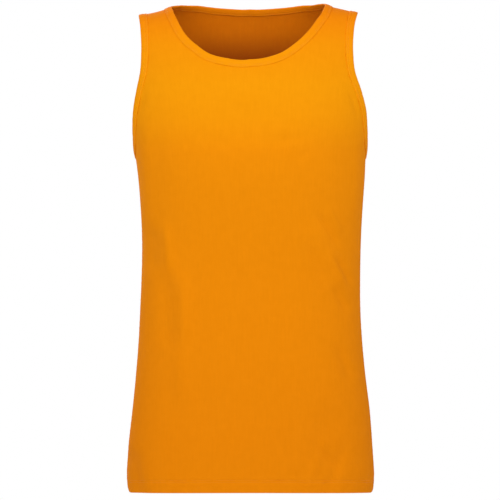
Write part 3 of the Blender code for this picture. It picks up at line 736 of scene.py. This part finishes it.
# %% A sheet is a list of places on the form
LAYER = 0.00055  # thickness of one layer of jersey


class Sheet:
    """A piece of cloth as places on the form, with girth, way and lift for each, and the faces between."""

    def __init__(self):
        self.places = []
        self.faces = []

    def add(self, girth, way, lift=0.0):
        """Adds points and returns their numbers."""
        girth, way, lift = np.broadcast_arrays(girth, way, lift)
        first = len(self.places)
        self.places += list(zip(girth, way, lift))
        return list(range(first, len(self.places)))

    def between(self, first, second):
        """Four-sided faces between two rows with as many points."""
        self.faces += [tuple(corners) for corners in zip(first, first[1:], second[1:], second)]


# %% Filling an outline with an even lattice
LATTICE = 0.0031  # distance between neighbouring points
LATTICE_CLEAR = 0.0014  # how near to the outline a point of the lattice may lie
CHUNK = 1500  # points that are compared with a line at once
NO_LENGTH = 1e-12  # stands in for the square of a length of nothing
MERGE_DISTANCE = 1e-8


def clear_inside(row, polygon):
    """Which of a row's points lie in the polygon and clear of its sides."""
    ends = np.roll(polygon, -1, axis=0)
    x = row[:, :1]
    y = row[0, 1]
    crosses = (polygon[:, 1] > y) != (ends[:, 1] > y)
    rise = np.where(crosses, ends[:, 1] - polygon[:, 1], 1)
    at = polygon[:, 0] + (y - polygon[:, 1]) * (ends[:, 0] - polygon[:, 0]) / rise
    within = (crosses & (at > x)).sum(axis=1) % 2 == 1
    distance, _ = nearest(row, np.vstack([polygon, polygon[:1]]))
    return within & (distance > LATTICE_CLEAR)


def nearest(points, line):
    """Each point's distance from a line, and how far along the line its nearest point is."""
    start = line[:-1]
    along = np.diff(line, axis=0)
    length = np.linalg.norm(along, axis=1)
    run = np.concatenate([[0], np.cumsum(length)])[:-1]
    found = []
    for chunk in np.array_split(points, max(1, len(points) // CHUNK)):
        offset = chunk[:, None, :] - start
        share = np.clip((offset * along).sum(axis=2) / np.maximum(length**2, NO_LENGTH), 0, 1)
        away = np.linalg.norm(offset - along * share[..., None], axis=2)
        best = away.argmin(axis=1)
        row = np.arange(len(chunk))
        found.append(np.stack([away[row, best], run[best] + share[row, best] * length[best]]))
    return np.concatenate(found, axis=1)


def fill(sheet, loop):
    """Fills a loop of the sheet's points with triangles over a lattice with offset rows."""
    scale = np.array([CHEST_QUARTER, 1.0])
    flat = np.array([sheet.places[i][:2] for i in loop]) * scale
    polygon = np.abs(flat) * np.stack([np.sign(flat[:, 0]), np.ones(len(flat))], axis=1)
    side = np.sign(flat[:, 1].sum())
    found = []
    level = LATTICE
    count = 0
    while level < polygon[:, 1].max():
        shift = LATTICE / 2 * (count % 2)
        places = np.arange(-CHEST_QUARTER + shift, CHEST_QUARTER, LATTICE)
        row = np.stack([places, np.full(len(places), level)], axis=1)
        found.append(row[clear_inside(row, polygon)])
        level += LATTICE * 3**0.5 / 2
        count += 1
    grid = np.concatenate(found)
    ids = loop + sheet.add(grid[:, 0] / CHEST_QUARTER, grid[:, 1] * side)
    corners = [Vector(point) for point in np.concatenate([polygon, grid]).tolist()]
    outline = [list(range(len(loop)))]
    _, _, faces, sources, _, _ = delaunay_2d_cdt(corners, [], outline, 1, MERGE_DISTANCE)
    sheet.faces += [tuple(ids[sources[corner][0]] for corner in face) for face in faces]
    return len(grid)


# %% The small unevenness that sewing leaves
NECK_BAND = 0.0096  # depth of the neck binding, outside
ARM_BAND = 0.0104  # depth of the armhole bindings, outside
HEM_ROWS = (0.0150, 0.0178)  # the stitch rows above the fold
PUCKER = 0.00022  # depth of the small pulls beside a seam
PUCKER_REACH = 0.006
SEAM_DIP = 0.00035  # how deep the cloth sinks at a seam
BAND_DIP = 0.00010  # how deep it sinks beside a binding
SEAM_DIP_REACH = 0.0017
STITCH_DIP = 0.00034  # how deep it sinks under a row of the hem's stitches
STITCH_DIP_REACH = 0.0008
Wave = namedtuple("Wave", "length share phase")
WAVES = (Wave(0.0105, 0.45, 0.3), Wave(0.0163, 0.35, 2.1), Wave(0.0341, 0.5, 4.0), Wave(0.0715, 0.4, 1.2))


def wobble(run):
    """A smooth unevenness along a seam, between about -1.5 and 1.5."""
    return sum(wave.share * np.sin(2 * np.pi * run / wave.length + wave.phase) for wave in WAVES)


def sewn_lift(side, girth, way):
    """How far seams, stitching and puckers move a panel's surface in or out."""
    scale = np.array([CHEST_QUARTER, 1.0])
    flat = np.stack([girth, way], axis=1) * scale
    lift = np.zeros(len(girth))
    edges = [(NECK[side], NECK_BAND)]
    edges += [(armhole_line(hand, side), ARM_BAND) for hand in (-1, 1)]
    for line, band in edges:
        distance, run = nearest(flat, line * scale)
        beyond = np.maximum(distance - band, 0)
        lift += PUCKER * wobble(run) * np.exp(-((beyond / PUCKER_REACH) ** 2))
        lift -= BAND_DIP * np.exp(-((beyond / SEAM_DIP_REACH) ** 2))
    from_seam = (1 - np.abs(girth)) * CHEST_QUARTER
    lift += PUCKER * wobble(np.abs(way) + girth) * np.exp(-((from_seam / PUCKER_REACH) ** 2))
    for distance in (from_seam, np.abs(way)):
        lift -= SEAM_DIP * np.exp(-((distance / SEAM_DIP_REACH) ** 2))
    above_hem = hem_way(side, girth) - np.abs(way)
    for row in HEM_ROWS:
        lift -= STITCH_DIP * np.exp(-(((above_hem - row) / STITCH_DIP_REACH) ** 2))
    lift += PUCKER * wobble(girth * CHEST_QUARTER) * np.exp(-(((above_hem - HEM_TURN) / PUCKER_REACH) ** 2))
    return lift


# %% Sizes of the turned-in edges
EDGE_STEP = 0.0026  # distance between the points along an edge
HEM_COLUMNS = 177
# The hem's rows by their height above the fold: outside, round the fold with their lift, and inside
HEM_UP = (
    0.0232, 0.0210, 0.0195, 0.0186, 0.0178, 0.0170, 0.0160,
    0.0150, 0.0142, 0.0130, 0.0100, 0.0070, 0.0040,
)
HEM_FOLD = (
    (0.0016, 0.0),
    (0.0005, 0.0),
    (0.00013, -0.00014),
    (0.0, -0.00045),
    (0.00013, -0.00076),
    (0.0005, -0.0009),
)
HEM_INSIDE = (0.004, 0.008, 0.012, 0.0150, 0.0164, 0.0178, 0.0195)
# Rows of a turned-in edge: distance from the seam, and lift. The first lies below the deepest pucker.
SEAM_TURN = {
    FRONT: ((0.0, -0.00085), (0.0009, -0.00125), (0.0020, -0.00145), (0.0045, -0.00145), (0.0070, -0.0014)),
    BACK: ((0.0, -0.00080), (0.0008, -0.00085), (0.0020, -0.00080), (0.0045, -0.00075), (0.0070, -0.0007)),
}


def add_seam_turn(sheet, side, edge, down_side):
    """Runs the panel on past a seam, turned in and pressed to the back."""
    row = edge
    for distance, lift in SEAM_TURN[side]:
        places = [sheet.places[i] for i in edge]
        girth = np.array([place[0] for place in places])
        way = np.abs([place[1] for place in places])
        if down_side:
            girth = girth * (1 - distance / CHEST_QUARTER)
        else:
            way = way + distance
        after = sheet.add(girth, way, lift)
        sheet.between(row, after)
        row = after


def panel_sheet(side):
    """The front or the back as a sheet, with its hem turned up and its seam edges turned in."""
    sheet = Sheet()
    neck = even_line(NECK[side], EDGE_STEP)
    # Both necklines run left to right here.
    neck = neck if side == FRONT else neck[::-1]
    neck_ids = sheet.add(neck[:, 0], neck[:, 1])
    columns = np.linspace(-1, 1, HEM_COLUMNS)
    edge_way = hem_way(side, columns)
    hem_rows = [sheet.add(columns, side * (edge_way - up)) for up in HEM_UP]
    for before, after in zip(hem_rows, hem_rows[1:]):
        sheet.between(before, after)
    row = hem_rows[-1]
    for up, lift in (*HEM_FOLD, *((up, HEM_FOLD[-1][1]) for up in HEM_INSIDE)):
        after = sheet.add(columns, side * (edge_way - up), lift)
        sheet.between(row, after)
        row = after

    arms, sides, straps = {}, {}, {}
    for hand in (-1, 1):
        arm = even_line(armhole_line(hand, side), EDGE_STEP)
        arms[hand] = sheet.add(arm[:, 0], arm[:, 1])
        corner = hem_rows[0][0 if hand < 0 else -1]
        underarm = np.abs(arm[-1, 1])
        low = np.abs(sheet.places[corner][1])
        rows = np.linspace(underarm, low, round((low - underarm) / EDGE_STEP) + 1)[1:-1]
        sides[hand] = sheet.add(np.full(len(rows), float(hand)), side * rows)
        neck_end = neck[0 if hand < 0 else -1, 0]
        shares = np.arange(arm[0, 0], neck_end, -hand * EDGE_STEP / CHEST_QUARTER)[1:-1]
        straps[hand] = sheet.add(shares, 0.0)

    loop = [arms[-1][0], *straps[-1], *neck_ids, *straps[1][::-1], *arms[1], *sides[1]]
    loop += [*hem_rows[0][::-1], *sides[-1][::-1], *arms[-1][:0:-1]]
    lattice = fill(sheet, loop)
    for hand in (-1, 1):
        below = np.abs(sheet.places[arms[hand][-1]][1]) + ARM_BAND
        clear = [i for i in sides[hand] if abs(sheet.places[i][1]) > below]
        add_seam_turn(sheet, side, clear, True)
        trim_arm = round(ARM_BAND / EDGE_STEP)
        trim_neck = round(NECK_BAND / EDGE_STEP)
        add_seam_turn(sheet, side, straps[hand][trim_arm:-trim_neck], False)
    print("lattice points:", lattice)
    return sheet


# %% From a sheet to a mesh, with its map of the grain
GIRTH_LEVELS = 60
ARC_STRIDE = 50  # samples of the arc that one step of the measure spans
ON_ITS_SIDE = 1e-6  # keeps the shoulder line on its own panel


def quarter_girth(height):
    """Length round the form from centre front to the side seam, at each height."""
    levels = np.linspace(SECTIONS[-1].height, SECTIONS[0].height, GIRTH_LEVELS)
    reach = smooth_at(levels, column(SECTIONS, "height"), column(SECTIONS, "front"))
    wide = half_width(1.0, levels)[:, None] * np.diff(WIDTH_SHARE[::ARC_STRIDE])
    deep = reach[:, None] * np.diff(DEPTH_SHARE[::ARC_STRIDE])
    return np.interp(height, levels, np.hypot(wide, deep).sum(axis=1))


def cloth_object(name, points, faces, grain, materials, side=0):
    """A cloth object of one layer that faces to its side, with a map of its grain and its thickness."""
    mesh = bpy.data.meshes.new(name)
    mesh.from_pydata(points.tolist(), [], faces)
    work = bmesh.new()
    work.from_mesh(mesh)
    bmesh.ops.recalc_face_normals(work, faces=work.faces)
    if sum(face.normal.y * face.calc_area() for face in work.faces) * side < 0:
        bmesh.ops.reverse_faces(work, faces=work.faces)
    work.to_mesh(mesh)
    work.free()
    corner_points = np.empty(len(mesh.loops), int)
    mesh.loops.foreach_get("vertex_index", corner_points)
    grain_map = mesh.uv_layers.new(name="grain")
    grain_map.data.foreach_set("uv", grain[corner_points].astype(np.float32).ravel())
    mesh.shade_smooth()
    for material in materials:
        mesh.materials.append(material)
    piece = bpy.data.objects.new(name, mesh)
    bpy.context.scene.collection.objects.link(piece)
    layer = piece.modifiers.new("cloth_thickness", "SOLIDIFY")
    layer.thickness = LAYER
    layer.offset = 0.0
    layer.use_even_offset = False
    layer.material_offset = len(materials) - 1
    area = sum(polygon.area for polygon in mesh.polygons)
    print(name, len(mesh.polygons), "faces,", round(area, 4), "m2 of cloth")
    return piece


def panel_piece(side, name):
    sheet = panel_sheet(side)
    girth, way, lift = np.array(sheet.places).T
    # Only the panel's own face is uneven, not what is turned in behind it.
    face = lift == 0
    lift[face] += sewn_lift(side, girth[face], np.maximum(np.abs(way[face]), ON_ITS_SIDE) * side)
    points, _ = cloth(girth, way, lift)
    grain = np.stack([girth * quarter_girth(points[:, 2]), way], axis=1)
    return cloth_object(name, points, sheet.faces, grain, [jersey, reverse], side)


# %% Front and back
front = panel_piece(FRONT, "front_cloth")
back = panel_piece(BACK, "back_cloth")

# %% [markdown]
# The neck and the armholes are bound: a strip of the same jersey is folded over the raw edge and held by
# two rows of stitching near its lower edge. Its fold is soft and round, it puffs up between the fold and
# the first row, and the thread pulls a groove along each row. A swept tube would look like piping, so the
# strip is made as it is sewn, one layer folded over the panel's edge, with its section as a formula.

# %% Sizes of the bindings
BAND_STEP = 0.0020
BAND_LIFT = 0.00118  # height of the strip's layer over the panel's middle
BAND_PUFF = 0.00028  # how far it stands up between the fold and the first row
BAND_PUCKER = PUCKER * 0.6
BAND_GROOVE_REACH = 0.0006
BAND_EDGE_DROP = 0.00060  # how far its lower edge is pressed down
BAND_EDGE_REACH = 0.0012
BAND_FOLD_OUT = 0.00015  # how far the fold stands off the raw edge
# The rows that turn under the lower edge: how far back from it, and their height
UNDER_EDGE = (0.0012, 0.0004, 0.0)
UNDER_HEIGHT = (0.00040, 0.00040, 0.00046)
SECTION_STEP = 0.00035
FOLD_CORNERS = 11
BAND_PROBE = 0.012  # how far into the cloth a station looks
PLACE_ROUNDS = 8
JOIN_DIP = 0.00035  # depth of the seam that closes a strip to a ring, at the loop's start
JOIN_REACH = 0.0012
JOIN_FADE = 0.02  # how near to the join the pulls fade, so that the ring closes evenly
Binding = namedtuple("Binding", "name band rows grooves inside_band")
NECK_BINDING = Binding("neck_binding_cloth", NECK_BAND, (0.0063, 0.0084), (0.00012, 0.00022), 0.0092)
ARM_ROWS = (0.0064, 0.0092)
ARM_GROOVES = (0.00036, 0.00030)
ARM_INSIDE_BAND = 0.0098
ARM_BINDINGS = {
    1: Binding("armhole_binding_cloth_left", ARM_BAND, ARM_ROWS, ARM_GROOVES, ARM_INSIDE_BAND),
    -1: Binding("armhole_binding_cloth_right", ARM_BAND, ARM_ROWS, ARM_GROOVES, ARM_INSIDE_BAND),
}


def leg_height(distance, binding, band):
    """Height of a binding's layer over the panel, at a distance from the panel's raw edge."""
    puff = BAND_PUFF * np.sin(np.pi * np.clip(distance / binding.rows[0], 0, 1))
    groove = sum(
        deep * np.exp(-(((distance - row) / BAND_GROOVE_REACH) ** 2))
        for row, deep in zip(binding.rows, binding.grooves)
    )
    edge = BAND_EDGE_DROP * smooth_step((distance - band + BAND_EDGE_REACH) / BAND_EDGE_REACH)
    return BAND_LIFT + puff - groove - edge


def band_section(binding):
    """The folded strip's section, as distances from the raw edge and heights over the panel's middle."""
    outer = np.arange(binding.band, -BAND_FOLD_OUT, -SECTION_STEP)
    inner = np.arange(-BAND_FOLD_OUT, binding.inside_band, SECTION_STEP)
    outer_height = leg_height(outer, binding, binding.band)
    inner_height = -leg_height(inner, binding, binding.inside_band)
    turn = np.linspace(0, np.pi, FOLD_CORNERS)[1:-1]
    fold = -BAND_FOLD_OUT - BAND_LIFT * np.sin(turn)
    fold_height = BAND_LIFT * np.cos(turn)
    distance = np.concatenate([binding.band - np.array(UNDER_EDGE), outer, fold, inner])
    height = np.concatenate([UNDER_HEIGHT, outer_height, fold_height, inner_height])
    return distance, height


# %% Which way the cloth lies from its edge
def inward_places(line):
    """For each station of a closed edge line, the place that lies a set distance into the cloth from it."""
    points, normal = cloth(line[:, 0], line[:, 1])
    along = np.roll(points, -1, axis=0) - np.roll(points, 1, axis=0)
    along /= np.linalg.norm(along, axis=1)[:, None]
    inward = np.cross(normal, along)
    if (inward * (points - points.mean(axis=0))).sum() < 0:
        inward = -inward
    wanted = points + inward * BAND_PROBE
    places = line.copy()
    # Each round solves for the step in girth and way that brings the place nearest to the wanted point.
    for _ in range(PLACE_ROUNDS):
        here, _ = cloth(places[:, 0], places[:, 1])
        slopes = []
        for step in (np.array([PROBE, 0]), np.array([0, PROBE])):
            ahead, _ = cloth(*(places + step).T)
            behind, _ = cloth(*(places - step).T)
            slopes.append((ahead - behind) / (2 * PROBE))
        by_girth, by_way = slopes
        miss = wanted - here
        girth_girth = (by_girth**2).sum(axis=1)
        girth_way = (by_girth * by_way).sum(axis=1)
        way_way = (by_way**2).sum(axis=1)
        girth_miss = (by_girth * miss).sum(axis=1)
        way_miss = (by_way * miss).sum(axis=1)
        spread = girth_girth * way_way - girth_way * girth_way
        places[:, 0] += (way_way * girth_miss - girth_way * way_miss) / spread
        places[:, 1] += (girth_girth * way_miss - girth_way * girth_miss) / spread
        places[:, 0] = np.clip(places[:, 0], -1, 1)
    return places


def band_places(line, inner, distance):
    """Girth and way at distances from the raw edge, for each station."""
    share = np.asarray(distance)[None, :] / BAND_PROBE
    girth = line[:, :1] + (inner[:, :1] - line[:, :1]) * share
    way = line[:, 1:] + (inner[:, 1:] - line[:, 1:]) * share
    return girth, way


# %% A folded strip round a closed edge
def band_edge(parts):
    """A closed edge line with equal steps, from its parts end to end, without the repeated last station."""
    pieces = [even_line(part, BAND_STEP) for part in parts]
    joined = [piece[:-1] for piece in pieces[:-1]] + [pieces[-1]]
    return np.concatenate(joined)[:-1]


def binding_piece(binding, line):
    """A binding on its edge line, with the line and the places inward of it, which its stitching follows."""
    inner = inward_places(line)
    distance, height = band_section(binding)
    girth, way = band_places(line, inner, distance)
    run = np.arange(len(line)) * BAND_STEP
    whole = len(line) * BAND_STEP
    from_join = np.minimum(run, whole - run)
    uneven = BAND_PUCKER * wobble(run) * np.minimum(1, from_join / JOIN_FADE)
    join = JOIN_DIP * np.exp(-((from_join / JOIN_REACH) ** 2))
    lift = height[None, :] + (uneven - join)[:, None] * np.sign(height)[None, :]
    points, _ = cloth(girth, way, lift)
    count, corners = girth.shape
    ids = np.arange(count * corners).reshape(count, corners)
    after = np.roll(ids, -1, axis=0)
    faces = np.stack([ids[:, :-1], after[:, :-1], after[:, 1:], ids[:, 1:]], axis=-1).reshape(-1, 4)
    along = np.broadcast_to(run[:, None], girth.shape)
    section_run = np.cumsum(np.hypot(np.diff(distance, prepend=0), np.diff(height, prepend=0)))
    across = np.broadcast_to(section_run, girth.shape)
    grain = np.stack([across.ravel(), along.ravel()], axis=1)
    piece = cloth_object(binding.name, points.reshape(-1, 3), faces.tolist(), grain, [binding_jersey])
    return piece, line, inner


# %% Neck binding and armhole bindings
neck_edge = band_edge([NECK[FRONT], NECK[BACK]])
neck_binding, neck_line, neck_inner = binding_piece(NECK_BINDING, neck_edge)

arm_bindings, arm_lines = {}, {}
for hand in (1, -1):
    parts = [armhole_line(hand, FRONT)[::-1], armhole_line(hand, BACK)]
    arm_bindings[hand], *arm_lines[hand] = binding_piece(ARM_BINDINGS[hand], band_edge(parts))

# %% [markdown]
# A coverstitch machine sews the bindings and the hem. Outside it leaves two parallel rows of straight
# stitches, and inside a thread that runs to and fro between them. Thousands of stitches are far too many to
# place by hand, so Geometry Nodes set them along each seam line: the line is cut to equal steps, and each
# step gets one small rounded stitch, turned to the line and to the cloth under it.

# %% The stitch tree
STITCH_SEED = 7
TURN_SPREAD = 0.06  # radians by which a stitch may lie askew
LENGTH_SPREAD = (0.92, 1.06)


def stitch_tree():
    """Stitches along the edges of a mesh, whose points carry the way out of the cloth as "out"."""
    tree = bpy.data.node_groups.new("stitches_on_a_seam_line", "GeometryNodeTree")
    sockets = (
        ("Seam line", "NodeSocketGeometry"),
        ("Step", "NodeSocketFloat"),
        ("Stitch length", "NodeSocketFloat"),
        ("Thread width", "NodeSocketFloat"),
        ("Thread height", "NodeSocketFloat"),
        ("Slant", "NodeSocketFloat"),
        ("Seed", "NodeSocketInt"),
        ("Thread", "NodeSocketMaterial"),
    )
    for name, kind in sockets:
        tree.interface.new_socket(name=name, in_out="INPUT", socket_type=kind)
    tree.interface.new_socket(name="Stitches", in_out="OUTPUT", socket_type="NodeSocketGeometry")
    given = add_node(tree, "NodeGroupInput").outputs
    curve = add_node(tree, "GeometryNodeMeshToCurve", {"Mesh": given["Seam line"]})
    steps = add_node(
        tree,
        "GeometryNodeResampleCurve",
        {"Curve": curve.outputs[0], "Length": given["Step"]},
        mode="LENGTH",
    )
    out = add_node(tree, "GeometryNodeInputNamedAttribute", {"Name": "out"}, data_type="FLOAT_VECTOR")
    tangent = add_node(tree, "GeometryNodeInputTangent")
    along = add_node(tree, "FunctionNodeAlignRotationToVector", {"Vector": tangent.outputs[0]}, axis="X")
    upright = add_node(
        tree,
        "FunctionNodeAlignRotationToVector",
        {"Rotation": along.outputs[0], "Vector": out.outputs[0]},
        axis="Z",
        pivot_axis="X",
    )
    number = add_node(tree, "GeometryNodeInputIndex")
    odd = add_node(tree, "ShaderNodeMath", {0: number.outputs[0], 1: 2.0}, operation="MODULO")
    # Every other stitch slants the other way.
    hand_of = add_node(
        tree, "ShaderNodeMath", {0: odd.outputs[0], 1: 2.0, 2: -1.0}, operation="MULTIPLY_ADD"
    )
    lean = add_node(
        tree, "ShaderNodeMath", {0: hand_of.outputs[0], 1: given["Slant"]}, operation="MULTIPLY"
    )
    slip = add_node(
        tree,
        "FunctionNodeRandomValue",
        {2: -TURN_SPREAD, 3: TURN_SPREAD, "Seed": given["Seed"]},
        data_type="FLOAT",
    )
    angle = add_node(tree, "ShaderNodeMath", {0: lean.outputs[0], 1: slip.outputs[1]}, operation="ADD")
    turn_by = add_node(
        tree, "FunctionNodeAxisAngleToRotation", {"Axis": (0, 0, 1), "Angle": angle.outputs[0]}
    )
    turned = add_node(
        tree,
        "FunctionNodeRotateRotation",
        {"Rotation": upright.outputs[0], "Rotate By": turn_by.outputs[0]},
        rotation_space="LOCAL",
    )
    longer = add_node(
        tree,
        "FunctionNodeRandomValue",
        {2: LENGTH_SPREAD[0], 3: LENGTH_SPREAD[1], "Seed": given["Seed"]},
        data_type="FLOAT",
    )
    length = add_node(
        tree, "ShaderNodeMath", {0: longer.outputs[1], 1: given["Stitch length"]}, operation="MULTIPLY"
    )
    size = add_node(
        tree,
        "ShaderNodeCombineXYZ",
        {"X": length.outputs[0], "Y": given["Thread width"], "Z": given["Thread height"]},
    )
    ball = add_node(tree, "GeometryNodeMeshUVSphere", {"Segments": 6, "Rings": 5, "Radius": 0.5})
    stitch = add_node(
        tree, "GeometryNodeTransform", {"Geometry": ball.outputs[0], "Rotation": (0, np.pi / 2, 0)}
    )
    placed = add_node(
        tree,
        "GeometryNodeInstanceOnPoints",
        {
            "Points": steps.outputs[0],
            "Instance": stitch.outputs[0],
            "Rotation": turned.outputs[0],
            "Scale": size.outputs[0],
        },
    )
    real = add_node(tree, "GeometryNodeRealizeInstances", {"Geometry": placed.outputs[0]})
    smooth = add_node(tree, "GeometryNodeSetShadeSmooth", {"Geometry": real.outputs[0]})
    finished = add_node(
        tree, "GeometryNodeSetMaterial", {"Geometry": smooth.outputs[0], "Material": given["Thread"]}
    )
    add_node(tree, "NodeGroupOutput", {"Stitches": finished.outputs[0]})
    return tree


STITCHES = stitch_tree()
print(len(STITCHES.nodes), "nodes in", STITCHES.name)

# %% Sewing along lines
OUTSIDE_STITCH = {
    "Step": 0.0029,
    "Stitch length": 0.0026,
    "Thread width": 0.00048,
    "Thread height": 0.00042,
}
INSIDE_STITCH = {
    "Step": 0.0015,
    "Stitch length": 0.0036,
    "Thread width": 0.00036,
    "Thread height": 0.00034,
}
STRAIGHT, INSIDE_SLANT = 0.0, 1.05


def seam_line_object(lines):
    """A mesh of edges along lines of points, closed or not, with the way out of the cloth at each point."""
    points, edges, out = [], [], []
    for line_points, line_out, closed in lines:
        first = len(points)
        count = len(line_points)
        points += line_points.tolist()
        out += line_out.tolist()
        edges += [(first + i, first + i + 1) for i in range(count - 1)]
        if closed:
            edges.append((first + count - 1, first))
    mesh = bpy.data.meshes.new("seam_line")
    mesh.from_pydata(points, edges, [])
    attribute = mesh.attributes.new("out", "FLOAT_VECTOR", "POINT")
    attribute.data.foreach_set("vector", np.array(out, np.float32).ravel())
    carrier = bpy.data.objects.new("seam_line", mesh)
    bpy.context.scene.collection.objects.link(carrier)
    return carrier


def sewn_mesh(lines, sizes, slant):
    """The stitches along these lines as a plain mesh."""
    carrier = seam_line_object(lines)
    sewing = carrier.modifiers.new("sewing", "NODES")
    sewing.node_group = STITCHES
    values = {**sizes, "Slant": slant, "Seed": STITCH_SEED, "Thread": thread}
    for item in STITCHES.interface.items_tree:
        if item.in_out == "INPUT" and item.name in values:
            sewing[item.identifier] = values[item.name]
    seen_now = carrier.evaluated_get(bpy.context.evaluated_depsgraph_get())
    mesh = bpy.data.meshes.new_from_object(seen_now)
    bpy.data.objects.remove(carrier, do_unlink=True)
    return mesh


def sewn_piece(name, meshes):
    """One object from several runs of stitches."""
    work = bmesh.new()
    for mesh in meshes:
        work.from_mesh(mesh)
        bpy.data.meshes.remove(mesh)
    joined = bpy.data.meshes.new(name)
    work.to_mesh(joined)
    work.free()
    joined.materials.clear()
    joined.materials.append(thread)
    joined.shade_smooth()
    piece = bpy.data.objects.new(name, joined)
    bpy.context.scene.collection.objects.link(piece)
    print(name, len(joined.polygons), "faces")
    return piece


# %% [markdown]
# On a binding the outside rows lie in the two grooves of the upper layer. Inside, the looping thread
# lies on the lower layer, between the same two rows.

# %% Stitching of the bindings
THREAD_SINK = 0.00008  # how deep the thread lies in the cloth


def band_line(line, inner, distance, height):
    """A closed line along a binding, at a distance from its raw edge and a height over the panel."""
    girth, way = band_places(line, inner, [distance])
    points, normal = cloth(girth[:, 0], way[:, 0], height)
    return points, normal * np.sign(height), True


def binding_stitches(name, binding, line, inner):
    """The two outside rows and the inside looping of a binding, as one piece."""
    surface = LAYER / 2 - THREAD_SINK
    outside = []
    for row in binding.rows:
        height = float(leg_height(row, binding, binding.band)) + surface
        outside.append(band_line(line, inner, row, height))
    between_rows = sum(binding.rows) / 2
    depth = float(leg_height(between_rows, binding, binding.inside_band)) + surface
    inside = [band_line(line, inner, between_rows, -depth)]
    rows = sewn_mesh(outside, OUTSIDE_STITCH, STRAIGHT)
    looping = sewn_mesh(inside, INSIDE_STITCH, INSIDE_SLANT)
    return sewn_piece(name, [rows, looping])


neck_stitches = binding_stitches("neck_stitching", NECK_BINDING, neck_line, neck_inner)
arm_stitches = {
    hand: binding_stitches(f"armhole_stitching_{word}", ARM_BINDINGS[hand], *arm_lines[hand])
    for hand, word in ((1, "left"), (-1, "right"))
}

# %% [markdown]
# The hem has the same two rows outside, 15 and 18 mm above the fold, and the looping thread inside,
# close under the raw edge of the turned-up layer.

# %% Stitching of the hem
HEM_THREAD_UP = 0.00012  # how far the hem's rows stand out of their groove


def hem_line(row, lift):
    """A closed line round the garment at a distance above the hem's fold."""
    columns = np.linspace(-1, 1, HEM_COLUMNS)
    girth = np.concatenate([columns[:-1], columns[:0:-1]])
    side = np.concatenate([np.full(HEM_COLUMNS - 1, FRONT), np.full(HEM_COLUMNS - 1, BACK)])
    way = np.where(side == FRONT, -(hem_way(FRONT, girth) - row), hem_way(BACK, girth) - row)
    points, normal = cloth(girth, way, lift)
    return points, normal * np.sign(lift), True


outside_rows = [hem_line(row, LAYER / 2 - THREAD_SINK - STITCH_DIP + HEM_THREAD_UP) for row in HEM_ROWS]
inside_row = [hem_line(sum(HEM_ROWS) / 2, HEM_FOLD[-1][1] - LAYER / 2)]
hem_rows = sewn_mesh(outside_rows, OUTSIDE_STITCH, STRAIGHT)
hem_looping = sewn_mesh(inside_row, INSIDE_STITCH, INSIDE_SLANT)
hem_stitches = sewn_piece("hem_stitching", [hem_rows, hem_looping])

# %% [markdown]
# Inside, an overlock machine has trimmed and wrapped the two layers at each side and shoulder seam.
# Its threads cross the raw edges as slanting stitches, close together.

# %% Overlocking of the seams
OVERLOCK = {
    "Step": 0.0016,
    "Stitch length": 0.0062,
    "Thread width": 0.00036,
    "Thread height": 0.00034,
}
OVERLOCK_SLANT = 1.25
OVERLOCK_MIDDLE = 0.0048  # from the seam
OVERLOCK_LIFT = -0.00145 - LAYER / 2  # on the innermost turned-in layer
SHOULDER_STATIONS = 12


def overlock_lines():
    """Lines down the turned-in edges of both side seams and both shoulder seams."""
    lines = []
    for hand in (-1, 1):
        top = abs(armhole_line(hand, BACK)[-1, 1]) + ARM_BAND
        low = hem_way(BACK, np.array([float(hand)]))[0] - HEM_UP[0]
        way = np.arange(top, low, EDGE_STEP)
        girth = np.full(len(way), hand * (1 - OVERLOCK_MIDDLE / CHEST_QUARTER))
        points, normal = cloth(girth, way, OVERLOCK_LIFT)
        lines.append((points, -normal, False))
        tip = ridge_girth(SHOULDER_TIP[hand]) - hand * ARM_BAND / CHEST_QUARTER
        neck_end = ridge_girth(NECK_LEFT if hand < 0 else NECK_RIGHT) + hand * NECK_BAND / CHEST_QUARTER
        girth = np.linspace(tip, neck_end, SHOULDER_STATIONS)
        points, normal = cloth(girth, np.full(len(girth), OVERLOCK_MIDDLE), OVERLOCK_LIFT)
        lines.append((points, -normal, False))
    return lines


seam_stitches = sewn_piece("seam_overlocking", [sewn_mesh(overlock_lines(), OVERLOCK, OVERLOCK_SLANT)])

# %% [markdown]
# Last, each piece is tied to the solid that it stands for, which is hidden, and rides on the root body with
# its stitching.
# The table also lists the size that each piece of cloth was cut to: the panels with their hem and seam
# allowances, and the bindings as straight strips.

# %% What each piece rides on and stands for
Cut = namedtuple("Cut", "node piece slot wide long area held sewn")
arm_left, arm_right = arm_bindings[1], arm_bindings[-1]
CUTS = (
    Cut("front_panel", front, "jersey", 0.490, 0.745, 0.290, "draped", [hem_stitches, seam_stitches]),
    Cut("back_panel", back, "jersey", 0.490, 0.755, 0.308, "draped", []),
    Cut("neck_binding", neck_binding, "binding", 0.640, 0.0245, None, "folded", [neck_stitches]),
    Cut("armhole_binding_left", arm_left, "binding", 0.560, 0.0252, None, "folded", [arm_stitches[1]]),
    Cut("armhole_binding_right", arm_right, "binding", 0.560, 0.0252, None, "folded", [arm_stitches[-1]]),
)

for cut in CUTS:
    for piece in (cut.piece, *cut.sewn):
        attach(piece, "root")
    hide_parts(cut.node)
print(len(CUTS), "cut pieces")
